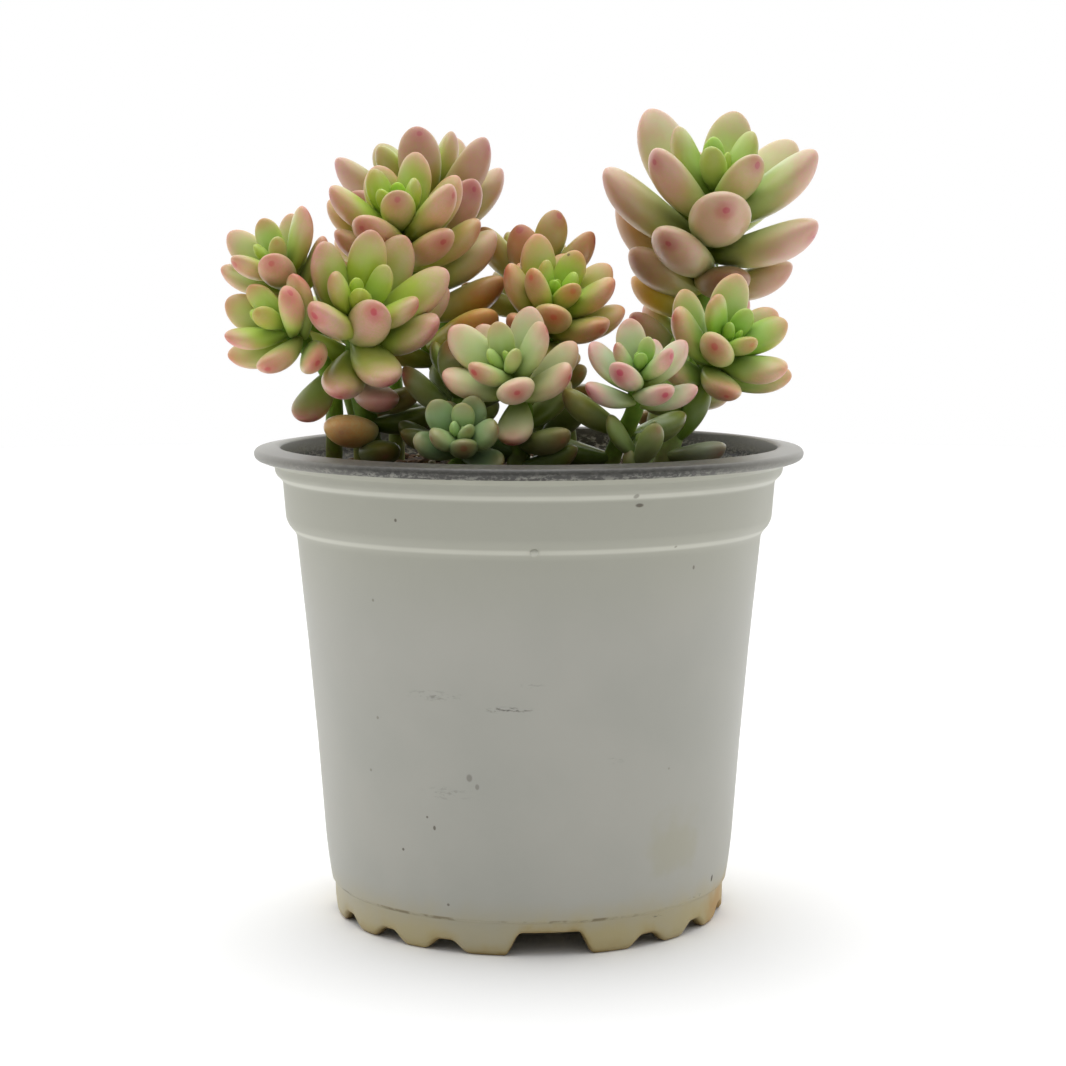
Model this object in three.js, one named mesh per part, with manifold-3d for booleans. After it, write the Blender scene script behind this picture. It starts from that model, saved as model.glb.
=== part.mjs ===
// A jelly bean plant in a nursery pot: a thin moulded pot with a wide lip and a notched foot,
// filled with soil, and a clump of leafy stems that each end in a head of plump leaves.
// Millimetres, +Z up, the pot's axis on Z and its foot on Z = 0. The front is towards -Y.

import * as THREE from 'three';
import { mergeVertices } from 'three/addons/utils/BufferGeometryUtils.js';
import Module from 'manifold-3d';

const wasm = await Module();
wasm.setup();

// Pot
const POT_SIDES = 36;
const LIP_RADIUS = 53;
const POT_HEIGHT = 91;
const FOOT_OUTER = 38.1;
const FOOT_INNER = 36;
const FOOT_PAD_EDGE = 37.4;
const FLOOR_UNDERSIDE = 4.8;
const FLOOR_TOP = 6;
const FLOOR_EDGE = 37;
const NOTCH_BEARING = 276;
const NOTCH_COUNT = 3;
const NOTCH_HEIGHT = 4.4;
const NOTCH_HALF_WIDTH = { foot: 8.5, top: 5.8 };
const SCALLOP_STEPS = [30, 50, 70, 90];
const SCALLOP_RADIUS = 3.6;
const SCALLOP_CENTRE = -1.4;
const DRAIN_COUNT = 6;
const DRAIN_RADIUS = 3.5;
const DRAIN_RING = 24;
const CUTTER_SIDES = 8;
const CUTTER_DEPTH = 8;

// Soil
const SOIL_TOP = 86;
const SOIL_GAP = 0.4;
const SOIL_EDGE = 45.8;
const SOIL_ROUGHNESS = 1.1;
const SOIL_RINGS = [36, 24, 12];

// Stems and leaves
const ROOT_DEPTH = 12;
const GOLDEN_TURN = 137.508;
const BUD_SHARE = 0.24;
const BUD_FULLNESS = 1.15;
const GROWTH_EASE = 0.9;
const SPACING_EASE = 1.1;
const CURL = 0.16;
const THICKNESS = 0.66;
const UPPER_SHARE = 0.4;
const LOWER_LEAF_PLUMPNESS = 0.54;
const NECK = 0.7;
const LEAF_SHOULDER = 0.64;
const LEAF_ROOT_WIDTH = 0.36;
const LEAF_TIP_FULLNESS = 2.3;
const LARGE_LEAF = { from: 15, sides: 5, rings: [0, 0.5, 0.88] };
const SMALL_LEAF = { sides: 4, rings: [0, 0.74] };
const MERGE_WITHIN = 0.5;
const STEM_SIDES = 5;
const STEM_STEPS = 6;
const STEM_TAPER_FROM = 0.8;
const STEM_TIP_SHARE = 0.6;
const STEM_RISE = 0.4;
const STEM_BEND = 0.3;
const STEM_LOOK_AHEAD = 0.02;

// Room that crowded leaves make for each other
const PROBES = [0.18, 0.42, 0.66, 0.88];
const PROBE_SHARE = 0.46;
const CLEARANCE = 0.6;
const GROUND_CLEARANCE = 0.8;
const PACKING = 1.5;
const STEM_PROBES = 10;
const STEM_PROBE_RADIUS = 2.3;
const NEAR = { share: 0.75, margin: 4 };
const YIELD = { sameHead: 0.35, otherHead: 0.5 };
const ROUNDS = 26;
const SHRINK_FROM = 12;
const LIP_REACH = 43;
const STIFFNESS = 1.4;
const SHRINK = { crowdedFrom: 0.15, length: 0.965, width: 0.975, pressedFrom: 0.8, pressedWidth: 0.985 };

// What all heads share, unless a row says otherwise. open: the angle between leaf and stem at the
// bud and at the lowest leaf, and pace how early they open. depth: the leafy length of the head
// against a leaf. young: the share of the leaves that is still growing. hand: the way the spiral
// turns. lower: no leaves left on the bare stem.
const HEAD = { open: [22, 74], pace: 0.7, depth: 0.66, young: 0.45, hand: 1, lower: [] };

// Each leafy stem. root: where it leaves the soil. tip: its growing point. bearing and tilt: the
// way the head looks, as a compass angle from +X and an angle from upright. leaves: how many, from
// the bud outwards, each a golden turn on from the last, and first where the spiral starts.
// length: a full-grown leaf, and plump its width against that. lower: single leaves left on the
// bare stem, each a place along the stem from 0 to 1, a bearing, a lift and a length.
const STEMS = [
  { name: 'right_tall', root: [25, 8], tip: [38, 26, 142], bearing: 280, tilt: 25, radius: 2.5,
    leaves: 16, length: 28, plump: 0.43, first: 335, young: 0.6,
    lower: [[0.6, 215, 5, 20], [0.66, 280, -10, 20], [0.6, 350, -10, 20], [0.62, 175, 35, 25],
      [0.5, 195, 35, 16]] },
  { name: 'left_tall', root: [-13, 7], tip: [-25, 0, 135], bearing: 255, tilt: 25, radius: 2.5,
    leaves: 18, length: 18, plump: 0.46, first: 310,
    lower: [[0.62, 25, 35, 21], [0.52, 350, 8, 19], [0.4, 325, 12, 20], [0.34, 200, 10, 14],
      [0.14, 195, 5, 15]] },
  { name: 'left_front', root: [-30, -3], tip: [-31, -18, 117], bearing: 280, tilt: 50, radius: 2.25,
    leaves: 18, length: 21, plump: 0.39, first: 0,
    lower: [[0.5, 305, -15, 15], [0.22, 255, -5, 18], [0.12, 290, 0, 15], [0.34, 330, 5, 13],
      [0.24, 350, 0, 14]] },
  { name: 'left_back', root: [-33, 10], tip: [-47, -14, 126], bearing: 235, tilt: 40, radius: 1.75,
    leaves: 12, length: 14, plump: 0.46, first: 30, lower: [[0.55, 185, -20, 14]] },
  { name: 'left_low', root: [-38, 3], tip: [-46, -22, 115], bearing: 225, tilt: 55, radius: 1.75,
    leaves: 12, length: 14, plump: 0.47, first: 0, lower: [[0.5, 265, -55, 13]] },
  { name: 'centre', root: [3, 0], tip: [5, -2, 119], bearing: 290, tilt: 35, radius: 2.25,
    leaves: 18, length: 16, plump: 0.46, first: 110,
    lower: [[0.5, 215, 0, 13], [0.42, 320, 5, 13], [0.25, 270, 25, 13], [0.3, 225, 15, 13],
      [0.14, 310, 30, 14]] },
  { name: 'front', root: [-2, -23], tip: [-4, -28, 107], bearing: 250, tilt: 45, radius: 2.25,
    leaves: 14, length: 15, plump: 0.46, first: 30,
    lower: [[0.3, 335, 5, 14], [0.1, 340, 5, 12], [0.2, 205, 0, 12], [0.42, 30, 25, 13]] },
  { name: 'front_right', root: [15, -18], tip: [20, -28, 107], bearing: 275, tilt: 30, radius: 1.75,
    leaves: 13, length: 12, plump: 0.48, first: 140,
    lower: [[0.4, 205, 5, 14], [0.3, 20, 10, 14], [0.15, 195, 10, 14]] },
  { name: 'right_low', root: [26, -8], tip: [38, -8, 111], bearing: 300, tilt: 50, radius: 2.5,
    leaves: 15, length: 16, plump: 0.46, first: 0, hand: -1,
    lower: [[0.1, 320, 0, 13], [0.16, 20, 65, 14], [0.42, 235, -5, 12]] },
  { name: 'offset', root: [-15, -31], tip: [-12, -35, 95], bearing: 270, tilt: 55, radius: 1.25,
    leaves: 12, length: 10, plump: 0.55, first: 30 },
  { name: 'offset_right', root: [20, -30], tip: [20, -31, 93], bearing: 300, tilt: 10, radius: 1.25,
    leaves: 6, length: 10, plump: 0.5, first: 250 },
  { name: 'middle', root: [-13, -13], tip: [-13, -12, 105], bearing: 90, tilt: 10, radius: 1.75,
    leaves: 9, length: 14, plump: 0.48, first: 80, hand: -1,
    lower: [[0.4, 200, 0, 12], [0.15, 330, 5, 12], [0.25, 170, 10, 13]] },
  { name: 'centre_back', root: [8, 19], tip: [1, 16, 126], bearing: 100, tilt: 20, radius: 2,
    leaves: 12, length: 16, plump: 0.46, first: 100, lower: [[0.5, 250, 0, 14], [0.3, 270, 0, 14]] },
  { name: 'back', root: [-14, 22], tip: [-22, 18, 141], bearing: 180, tilt: 10, radius: 2,
    leaves: 16, length: 21, plump: 0.45, first: 170, lower: [[0.45, 60, -10, 15], [0.35, 280, 0, 15]] },
  { name: 'back_left', root: [-27, 25], tip: [-36, 29, 118], bearing: 140, tilt: 45, radius: 1.75,
    leaves: 12, length: 16, plump: 0.46, first: 10, hand: -1,
    lower: [[0.45, 180, -10, 13], [0.25, 240, 0, 13]] },
  { name: 'back_right', root: [25, 27], tip: [35, 38, 112], bearing: 70, tilt: 40, radius: 2,
    leaves: 12, length: 16, plump: 0.46, first: 300,
    lower: [[0.45, 30, -10, 13], [0.25, 260, 0, 13]] },
].map((row) => ({ ...HEAD, ...row, name: `leafy_stem_${row.name}` }));

const materials = {
  pot: new THREE.MeshStandardMaterial({ color: 0xa3a298, roughness: 0.55, metalness: 0 }),
  soil: new THREE.MeshStandardMaterial({ color: 0x4a3b2c, roughness: 0.95, metalness: 0 }),
  plant: new THREE.MeshStandardMaterial({ color: 0x9fb06c, roughness: 0.5, metalness: 0 }),
};

const radians = THREE.MathUtils.degToRad;
const vector = (x, y, z) => new THREE.Vector3(x, y, z);

// Solids

function solidFrom(geometry) {
  const bare = geometry.clone();
  bare.deleteAttribute('normal');
  bare.deleteAttribute('uv');
  const merged = mergeVertices(bare, 1e-4);
  const corners = merged.index.array;
  const kept = [];
  for (let i = 0; i < corners.length; i += 3) {
    const [a, b, c] = [corners[i], corners[i + 1], corners[i + 2]];
    if (a !== b && b !== c && c !== a) {
      kept.push(a, b, c);
    }
  }
  return new wasm.Manifold(new wasm.Mesh({
    numProp: 3,
    vertProperties: new Float32Array(merged.attributes.position.array),
    triVerts: new Uint32Array(kept),
  }));
}

function meshFrom(solid, name, material) {
  const { numProp, vertProperties, triVerts } = solid.getMesh();
  const positions = new Float32Array(vertProperties.length / numProp * 3);
  for (let i = 0; i < positions.length / 3; i += 1) {
    positions.set(vertProperties.subarray(i * numProp, i * numProp + 3), i * 3);
  }
  const geometry = new THREE.BufferGeometry();
  geometry.setAttribute('position', new THREE.BufferAttribute(positions, 3));
  geometry.setIndex(new THREE.BufferAttribute(triVerts, 1));
  geometry.computeVertexNormals();
  const mesh = new THREE.Mesh(geometry, material);
  mesh.name = name;
  return mesh;
}

function turned(outline, sides) {
  const points = outline.map(([radius, height]) => new THREE.Vector2(radius, height));
  return new THREE.LatheGeometry(points, sides).rotateX(Math.PI / 2);
}

// Pot

// From the foot up: the step over the foot, the wall, the collar, the neck band and the lip.
const WALL_OUTSIDE = [
  [FOOT_PAD_EDGE, 0], [FOOT_OUTER - 0.1, 0.9], [FOOT_OUTER, 6.1], [38.7, 6.6],
  [39.6, 12], [41.9, 43], [44.9, 73.8],
  [46.7, 76.4], [47.5, 84.4],
  [48.9, 85.9], [49.1, 87.3],
  [52.5, 88.6], [LIP_RADIUS, 89.5], [52.6, 90.3], [48.7, POT_HEIGHT],
];
const WALL_INSIDE = [
  [47.9, 90.6], [47.5, 86.8], [46.1, 84.6], [45.4, 76.8], [43.8, 74], [40.8, 43], [37.9, 7.4],
];

function footNotches() {
  const cutters = [];
  const notch = new THREE.Shape([
    new THREE.Vector2(-NOTCH_HALF_WIDTH.foot, -1), new THREE.Vector2(NOTCH_HALF_WIDTH.foot, -1),
    new THREE.Vector2(NOTCH_HALF_WIDTH.top, NOTCH_HEIGHT),
    new THREE.Vector2(-NOTCH_HALF_WIDTH.top, NOTCH_HEIGHT),
  ]);
  for (let k = 0; k < NOTCH_COUNT; k += 1) {
    const bearing = NOTCH_BEARING + k * 360 / NOTCH_COUNT;
    cutters.push(new THREE.ExtrudeGeometry(notch, { depth: CUTTER_DEPTH, bevelEnabled: false })
      .rotateX(Math.PI / 2)
      .translate(0, FOOT_OUTER + 3, 0)
      .rotateZ(radians(bearing - 90)));
    for (const step of SCALLOP_STEPS) {
      cutters.push(new THREE.CylinderGeometry(SCALLOP_RADIUS, SCALLOP_RADIUS, CUTTER_DEPTH, CUTTER_SIDES)
        .translate(0, FOOT_OUTER, SCALLOP_CENTRE)
        .rotateZ(radians(bearing + step - 90)));
    }
  }
  return wasm.Manifold.union(cutters.map(solidFrom));
}

function drainHoles() {
  const holes = [];
  for (let k = 0; k < DRAIN_COUNT; k += 1) {
    holes.push(new THREE.CylinderGeometry(DRAIN_RADIUS, DRAIN_RADIUS, 6, CUTTER_SIDES)
      .rotateX(Math.PI / 2)
      .translate(0, DRAIN_RING, FLOOR_TOP)
      .rotateZ(radians(k * 360 / DRAIN_COUNT)));
  }
  return wasm.Manifold.union(holes.map(solidFrom));
}

function pot() {
  const outline = [
    [0, FLOOR_UNDERSIDE], [FOOT_INNER, FLOOR_UNDERSIDE], [FOOT_INNER, 0],
    ...WALL_OUTSIDE, ...WALL_INSIDE, [FLOOR_EDGE, FLOOR_TOP], [0, FLOOR_TOP],
  ];
  const body = solidFrom(turned(outline, POT_SIDES));
  return meshFrom(body.subtract(footNotches()).subtract(drainHoles()), 'pot', materials.pot);
}

// Soil

function soilHollow(x, y) {
  const waves = Math.sin(0.31 * x + 1.1) * Math.sin(0.27 * y) + 0.6 * Math.sin(0.53 * x - 0.47 * y);
  return SOIL_ROUGHNESS * (0.5 + 0.3 * waves);
}

function stemHole(stem) {
  const holeSides = 8;
  const radius = (stem.radius + SOIL_GAP) / Math.cos(Math.PI / holeSides);
  const depth = ROOT_DEPTH + SOIL_GAP;
  return new THREE.CylinderGeometry(radius, radius, depth + 2, holeSides)
    .rotateX(Math.PI / 2)
    .translate(stem.root[0], stem.root[1], SOIL_TOP - depth / 2 + 1);
}

function soil() {
  const wall = WALL_INSIDE.map(([radius, height]) => [radius - SOIL_GAP, height]).reverse();
  const below = wall.filter(([, height]) => height < SOIL_TOP);
  const bottom = FLOOR_TOP + SOIL_GAP;
  const outline = [[0, bottom], [FLOOR_EDGE - SOIL_GAP, bottom], ...below, [SOIL_EDGE, SOIL_TOP]];
  const top = SOIL_RINGS.map((radius) => [radius, SOIL_TOP]);
  const geometry = turned([...outline, ...top, [0, SOIL_TOP]], POT_SIDES);
  const place = geometry.attributes.position;
  for (let i = 0; i < place.count; i += 1) {
    if (place.getZ(i) > SOIL_TOP - 0.01) {
      place.setZ(i, SOIL_TOP - soilHollow(place.getX(i), place.getY(i)));
    }
  }
  const holes = wasm.Manifold.union(STEMS.map((stem) => solidFrom(stemHole(stem))));
  return meshFrom(solidFrom(geometry).subtract(holes), 'soil', materials.soil);
}

// Stems

function headAxis(stem) {
  const [bearing, tilt] = [radians(stem.bearing), radians(stem.tilt)];
  return vector(Math.sin(tilt) * Math.cos(bearing), Math.sin(tilt) * Math.sin(bearing), Math.cos(tilt));
}

// A stem climbs straight out of the soil, bends over, and runs straight on through its head.
function stemPath(stem) {
  const axis = headAxis(stem);
  const tip = vector(...stem.tip);
  const leafyLength = stem.depth * stem.length;
  const neck = tip.clone().addScaledVector(axis, -leafyLength);
  const root = vector(stem.root[0], stem.root[1], SOIL_TOP);
  const reach = root.distanceTo(neck);
  const rise = root.clone().setZ(SOIL_TOP + STEM_RISE * reach);
  const bend = neck.clone().addScaledVector(axis, -STEM_BEND * reach);
  const bare = new THREE.CubicBezierCurve3(root, rise, bend, neck);
  const at = (share) => {
    if (share > NECK) {
      return neck.clone().addScaledVector(axis, leafyLength * (share - NECK) / (1 - NECK));
    }
    return bare.getPoint(share / NECK);
  };
  return { axis, tip, neck, root, at };
}

function stemBody(stem, path) {
  const geometry = new THREE.CylinderGeometry(1, 1, 1, STEM_SIDES, STEM_STEPS + 1);
  const place = geometry.attributes.position;
  for (let i = 0; i < place.count; i += 1) {
    const step = Math.round((place.getY(i) + 0.5) * (STEM_STEPS + 1));
    const share = (step - 1) / STEM_STEPS;
    const centre = step === 0 ? path.root.clone().setZ(SOIL_TOP - ROOT_DEPTH) : path.at(share);
    const ahead = step <= 1 ? vector(0, 0, 1)
      : path.at(Math.min(1, share + STEM_LOOK_AHEAD)).sub(path.at(share - STEM_LOOK_AHEAD)).normalize();
    const right = vector(0, 1, 0).cross(ahead).normalize();
    const back = right.clone().cross(ahead);
    const taper = Math.max(0, share - STEM_TAPER_FROM) / (1 - STEM_TAPER_FROM);
    const radius = stem.radius * (1 - (1 - STEM_TIP_SHARE) * taper);
    centre.addScaledVector(right, place.getX(i) * radius).addScaledVector(back, place.getZ(i) * radius);
    place.setXYZ(i, centre.x, centre.y, centre.z);
  }
  return geometry;
}

// Leaves

// The share of its full width that a leaf has at a share of its length: a thick root, the widest
// place past the middle, and a full round tip.
function leafWidth(share) {
  if (share < LEAF_SHOULDER) {
    const rise = Math.sin(share / LEAF_SHOULDER * Math.PI / 2);
    return LEAF_ROOT_WIDTH + (1 - LEAF_ROOT_WIDTH) * rise;
  }
  const past = (share - LEAF_SHOULDER) / (1 - LEAF_SHOULDER);
  return Math.sqrt(Math.max(0, 1 - past ** LEAF_TIP_FULLNESS));
}

function headLeaves(stem, path) {
  const right = vector(0, 1, 0).cross(path.axis).normalize();
  const over = path.axis.clone().cross(right);
  const leaves = [];
  for (let i = 0; i < stem.leaves; i += 1) {
    const age = i / (stem.leaves - 1);
    const turn = radians(stem.first + stem.hand * GOLDEN_TURN * i);
    const out = right.clone().multiplyScalar(Math.cos(turn)).addScaledVector(over, Math.sin(turn));
    const open = radians(stem.open[0] + (stem.open[1] - stem.open[0]) * age ** stem.pace);
    const grown = Math.min(1, age / stem.young) ** GROWTH_EASE;
    const length = stem.length * (BUD_SHARE + (1 - BUD_SHARE) * grown);
    leaves.push({
      base: path.tip.clone().addScaledVector(path.axis, -stem.depth * stem.length * age ** SPACING_EASE),
      ahead: path.axis.clone().multiplyScalar(Math.cos(open)).addScaledVector(out, Math.sin(open)),
      up: path.axis.clone().multiplyScalar(Math.sin(open)).addScaledVector(out, -Math.cos(open)),
      length,
      width: length * stem.plump * (BUD_FULLNESS - (BUD_FULLNESS - 1) * age),
    });
  }
  return leaves;
}

function lowerLeaves(stem, path) {
  return stem.lower.map(([share, bearing, lift, length]) => {
    const [turn, rise] = [radians(bearing), radians(lift)];
    return {
      base: path.at(share),
      ahead: vector(Math.cos(rise) * Math.cos(turn), Math.cos(rise) * Math.sin(turn), Math.sin(rise)),
      up: vector(-Math.sin(rise) * Math.cos(turn), -Math.sin(rise) * Math.sin(turn), Math.cos(rise)),
      length,
      width: length * LOWER_LEAF_PLUMPNESS,
    };
  });
}

function leafCentre(leaf, share) {
  return leaf.base.clone()
    .addScaledVector(leaf.ahead, leaf.length * share)
    .addScaledVector(leaf.up, leaf.length * CURL * share * share);
}

function leafBody(leaf) {
  const { sides, rings } = leaf.length > LARGE_LEAF.from ? LARGE_LEAF : SMALL_LEAF;
  const outline = [[0, 0], ...rings.map((share) => [leafWidth(share), share]), [0, 1]];
  const geometry = new THREE.LatheGeometry(outline.map(([r, h]) => new THREE.Vector2(r, h)), sides);
  const side = leaf.ahead.clone().cross(leaf.up);
  const thickness = leaf.width * THICKNESS;
  const place = geometry.attributes.position;
  for (let i = 0; i < place.count; i += 1) {
    const [across, share, height] = [place.getX(i), place.getY(i), place.getZ(i)];
    const half = thickness * (height > 0 ? UPPER_SHARE : 1 - UPPER_SHARE);
    const point = leafCentre(leaf, share)
      .addScaledVector(side, across * leaf.width / 2)
      .addScaledVector(leaf.up, height * half);
    place.setXYZ(i, point.x, point.y, point.z);
  }
  return geometry;
}

// Crowding: leaves of neighbouring heads lean away from each other, from other stems, from the
// soil and from the lip, as they do while they grow, and those still crowded stay smaller.

function probesOf(leaf) {
  return PROBES.map((share) => ({
    centre: leafCentre(leaf, share),
    radius: leafWidth(share) * leaf.width * PROBE_SHARE,
    stem: leaf.stem,
  }));
}

function neighbours(leaves) {
  const pairs = [];
  leaves.forEach((a, i) => {
    leaves.slice(i + 1).forEach((b) => {
      const reach = (a.length + b.length) * NEAR.share + NEAR.margin;
      if (leafCentre(a, 0.5).distanceTo(leafCentre(b, 0.5)) < reach) {
        pairs.push([a, b]);
      }
    });
  });
  return pairs;
}

function pushApart(leaf, probe, other, share) {
  const sameHead = probe.stem === other.stem;
  const away = probe.centre.clone().sub(other.centre);
  const distance = away.length() + 1e-9;
  const overlap = probe.radius + other.radius + (sameHead ? -PACKING : CLEARANCE) - distance;
  if (overlap > 0) {
    leaf.push.addScaledVector(away, share * overlap / distance);
    leaf.pressed = Math.max(leaf.pressed, overlap);
    leaf.crowded = Math.max(leaf.crowded, sameHead ? 0 : overlap);
  }
}

function easeCrowding(leaves, stemProbes) {
  const pairs = neighbours(leaves);
  for (let round = 0; round < ROUNDS; round += 1) {
    for (const leaf of leaves) {
      leaf.push = vector(0, 0, 0);
      leaf.crowded = 0;
      leaf.pressed = 0;
      leaf.probes = probesOf(leaf);
    }
    for (const [a, b] of pairs) {
      const [from, share] = a.stem === b.stem ? [1, YIELD.sameHead] : [0, YIELD.otherHead];
      for (const p of a.probes.slice(from)) {
        for (const q of b.probes.slice(from)) {
          pushApart(a, p, q, share);
          pushApart(b, q, p, share);
        }
      }
    }
    for (const leaf of leaves) {
      for (const probe of leaf.probes) {
        for (const other of stemProbes.filter(({ stem }) => stem !== leaf.stem)) {
          pushApart(leaf, probe, other, 1);
        }
        const { centre, radius } = probe;
        const overLip = Math.hypot(centre.x, centre.y) + radius > LIP_REACH;
        const sunk = (overLip ? POT_HEIGHT : SOIL_TOP) + GROUND_CLEARANCE + radius - centre.z;
        if (sunk > 0) {
          leaf.push.z += sunk;
          leaf.crowded = Math.max(leaf.crowded, sunk);
        }
      }
    }
    for (const leaf of leaves) {
      leaf.ahead.multiplyScalar(leaf.length * STIFFNESS).add(leaf.push).normalize();
      leaf.up.addScaledVector(leaf.ahead, -leaf.up.dot(leaf.ahead)).normalize();
      if (round >= SHRINK_FROM && leaf.crowded > SHRINK.crowdedFrom) {
        leaf.length *= SHRINK.length;
        leaf.width *= SHRINK.width;
      } else if (round >= SHRINK_FROM && leaf.pressed > SHRINK.pressedFrom) {
        leaf.width *= SHRINK.pressedWidth;
      }
    }
  }
}

// Plants

function largestBody(solid) {
  const bodies = solid.decompose();
  return bodies.reduce((best, body) => (body.volume() > best.volume() ? body : best));
}

function leafyStems() {
  const paths = STEMS.map(stemPath);
  const leaves = STEMS.flatMap((stem, k) => {
    const all = [...headLeaves(stem, paths[k]), ...lowerLeaves(stem, paths[k])];
    return all.map((leaf) => ({ ...leaf, stem }));
  });
  const stemProbes = STEMS.flatMap((stem, k) => Array.from({ length: STEM_PROBES }, (_, i) => (
    { stem, centre: paths[k].at((i + 1) / STEM_PROBES), radius: STEM_PROBE_RADIUS }
  )));
  easeCrowding(leaves, stemProbes);
  return STEMS.map((stem, k) => {
    const shapes = leaves.filter((leaf) => leaf.stem === stem).map(leafBody);
    const joined = wasm.Manifold.union([stemBody(stem, paths[k]), ...shapes].map(solidFrom));
    return meshFrom(largestBody(joined.simplify(MERGE_WITHIN)), stem.name, materials.plant);
  });
}

const plant = new THREE.Group();
plant.add(pot(), soil(), ...leafyStems());

export default plant;
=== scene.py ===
# %% [markdown]
# A jelly bean plant in a plastic nursery pot. The real thing is a thin two-layer plastic pot, some
# potting mix, and sixteen leafy stems that each end in a head of plump, waxy leaves. The packed
# model already fixes the size and place of all of them, so this lesson only makes finer pieces
# that stand in the same places, and gives them their finishes.

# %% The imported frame
import math
import random

import bmesh
import bpy
import numpy as np
from mathutils import Matrix, Vector, noise


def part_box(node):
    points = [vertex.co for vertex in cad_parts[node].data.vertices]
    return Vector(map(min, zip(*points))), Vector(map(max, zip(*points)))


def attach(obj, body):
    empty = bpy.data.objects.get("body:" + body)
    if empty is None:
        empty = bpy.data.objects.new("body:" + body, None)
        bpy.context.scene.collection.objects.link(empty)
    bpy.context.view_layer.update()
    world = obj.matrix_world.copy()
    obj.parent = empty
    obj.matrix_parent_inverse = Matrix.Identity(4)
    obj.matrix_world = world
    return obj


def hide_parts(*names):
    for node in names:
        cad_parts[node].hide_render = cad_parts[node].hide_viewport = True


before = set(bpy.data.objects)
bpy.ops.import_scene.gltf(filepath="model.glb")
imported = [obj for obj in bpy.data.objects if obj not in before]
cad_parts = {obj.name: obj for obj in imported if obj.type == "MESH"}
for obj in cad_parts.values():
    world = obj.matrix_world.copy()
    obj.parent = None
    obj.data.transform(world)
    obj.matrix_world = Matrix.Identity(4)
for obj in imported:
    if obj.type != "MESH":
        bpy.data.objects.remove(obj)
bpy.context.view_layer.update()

MM = 0.001
print("packed nodes:", len(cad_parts))

# %% [markdown]
# A few small helpers serve every piece. A colour is picked on screen as an sRGB hex value, and a
# shader wants linear light, so one function turns it. Another adds any shader node together with
# its settings and links and gives back the output that the next step needs, which keeps a material
# readable as a list of steps. The last turns a finished bmesh into an object: everything is modelled
# in millimetres and scaled once, here, so that the object itself stays at the origin, unturned and
# unscaled.


# %% Helpers
# A Map Range that eases in and out, and a Mix of two colours: factor 0, colour below 6, above 7.
EASED = {"interpolation_type": "SMOOTHSTEP"}
COLOURS_MIXED = {"output": 2, "data_type": "RGBA"}


def linear(hex_colour):
    """The linear RGBA of an sRGB hex colour."""
    parts = [int(hex_colour[i:i + 2], 16) / 255 for i in (1, 3, 5)]
    return [c / 12.92 if c <= 0.04045 else ((c + 0.055) / 1.055) ** 2.4 for c in parts] + [1.0]


def add_node(tree, kind, inputs=(), output=0, **settings):
    """Adds a node with its settings, fills or links its inputs, and gives back one output.

    The inputs come in the node's own order, or by name or number where some are left out.
    """
    node = tree.nodes.new("ShaderNode" + kind)
    for name, value in settings.items():
        setattr(node, name, value)
    for name, value in inputs.items() if isinstance(inputs, dict) else enumerate(inputs):
        if isinstance(value, bpy.types.NodeSocket):
            tree.links.new(value, node.inputs[name])
        else:
            node.inputs[name].default_value = value
    return node.outputs[output]


def new_material(name, **constants):
    """An empty principled material, with the numbers that are the same all over its surface."""
    material = bpy.data.materials.new(name)
    material.use_nodes = True
    shader = material.node_tree.nodes["Principled BSDF"]
    for socket, value in constants.items():
        shader.inputs[socket.replace("_", " ")].default_value = value
    return material, material.node_tree, shader


def new_piece(bm, name, replaced, materials, smooth=True):
    """The object of a finished bmesh, riding on the pot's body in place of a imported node."""
    bmesh.ops.scale(bm, vec=(MM, MM, MM), verts=bm.verts)
    mesh = bpy.data.meshes.new(name)
    bm.to_mesh(mesh)
    bm.free()
    for material in materials:
        mesh.materials.append(material)
    mesh.shade_smooth() if smooth else mesh.shade_flat()
    piece = bpy.data.objects.new(name, mesh)
    bpy.context.scene.collection.objects.link(piece)
    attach(piece, "root")
    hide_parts(replaced)
    return piece


print("the middle grey #808080 is", round(linear("#808080")[0], 3), "in linear light")


# %% [markdown]
# The camera stands where the photograph was taken from, found from the pot's circles: a little
# above the soil and almost half a metre away, tipped down 6.5 degrees, with a narrow view. A long
# lens keeps the pot's sides nearly upright.

# %% Camera
CAMERA_DISTANCE = 466
CAMERA_HEIGHT = 126.5
CAMERA_SIDEWAYS = 0.8
CAMERA_PITCH = 6.49
FOCAL_LENGTH = 81.42
SENSOR_WIDTH = 36

camera_data = bpy.data.cameras.new("camera")
camera_data.sensor_width = SENSOR_WIDTH
camera_data.lens = FOCAL_LENGTH
camera = bpy.data.objects.new("camera", camera_data)
camera.location = (CAMERA_SIDEWAYS * MM, -CAMERA_DISTANCE * MM, CAMERA_HEIGHT * MM)
camera.rotation_euler = (math.radians(90 - CAMERA_PITCH), 0, 0)
bpy.context.scene.collection.objects.link(camera)
bpy.context.scene.camera = camera
print("camera at", [round(c, 3) for c in camera.location], "lens", FOCAL_LENGTH)

# %% [markdown]
# The photograph is a high-key studio picture: a white sweep all round that is brighter behind the
# plant and above it than on the camera's side, so the pot's flanks and the leaves' rims glow while
# its front stays grey. A sky whose strength follows its direction gives that, over a pale floor,
# with one soft panel above for the low shine on the leaves. The view transform is Standard, because
# the hex colours are then what they look like on screen.

# %% Floor and light
SKY_FRONT = 0.13
SKY_BEHIND = 1.35
SKY_ABOVE = 0.65
SKY_TURNS = (-0.6, 0.8)
FLOOR_RADIUS = 1200
FLOOR_SIDES = 96
FLOOR_DROP = 0.05
AIM_HEIGHT = 90
PANELS = [("panel_above", (-60, -40, 700), (500, 500), 1.2)]


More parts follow.
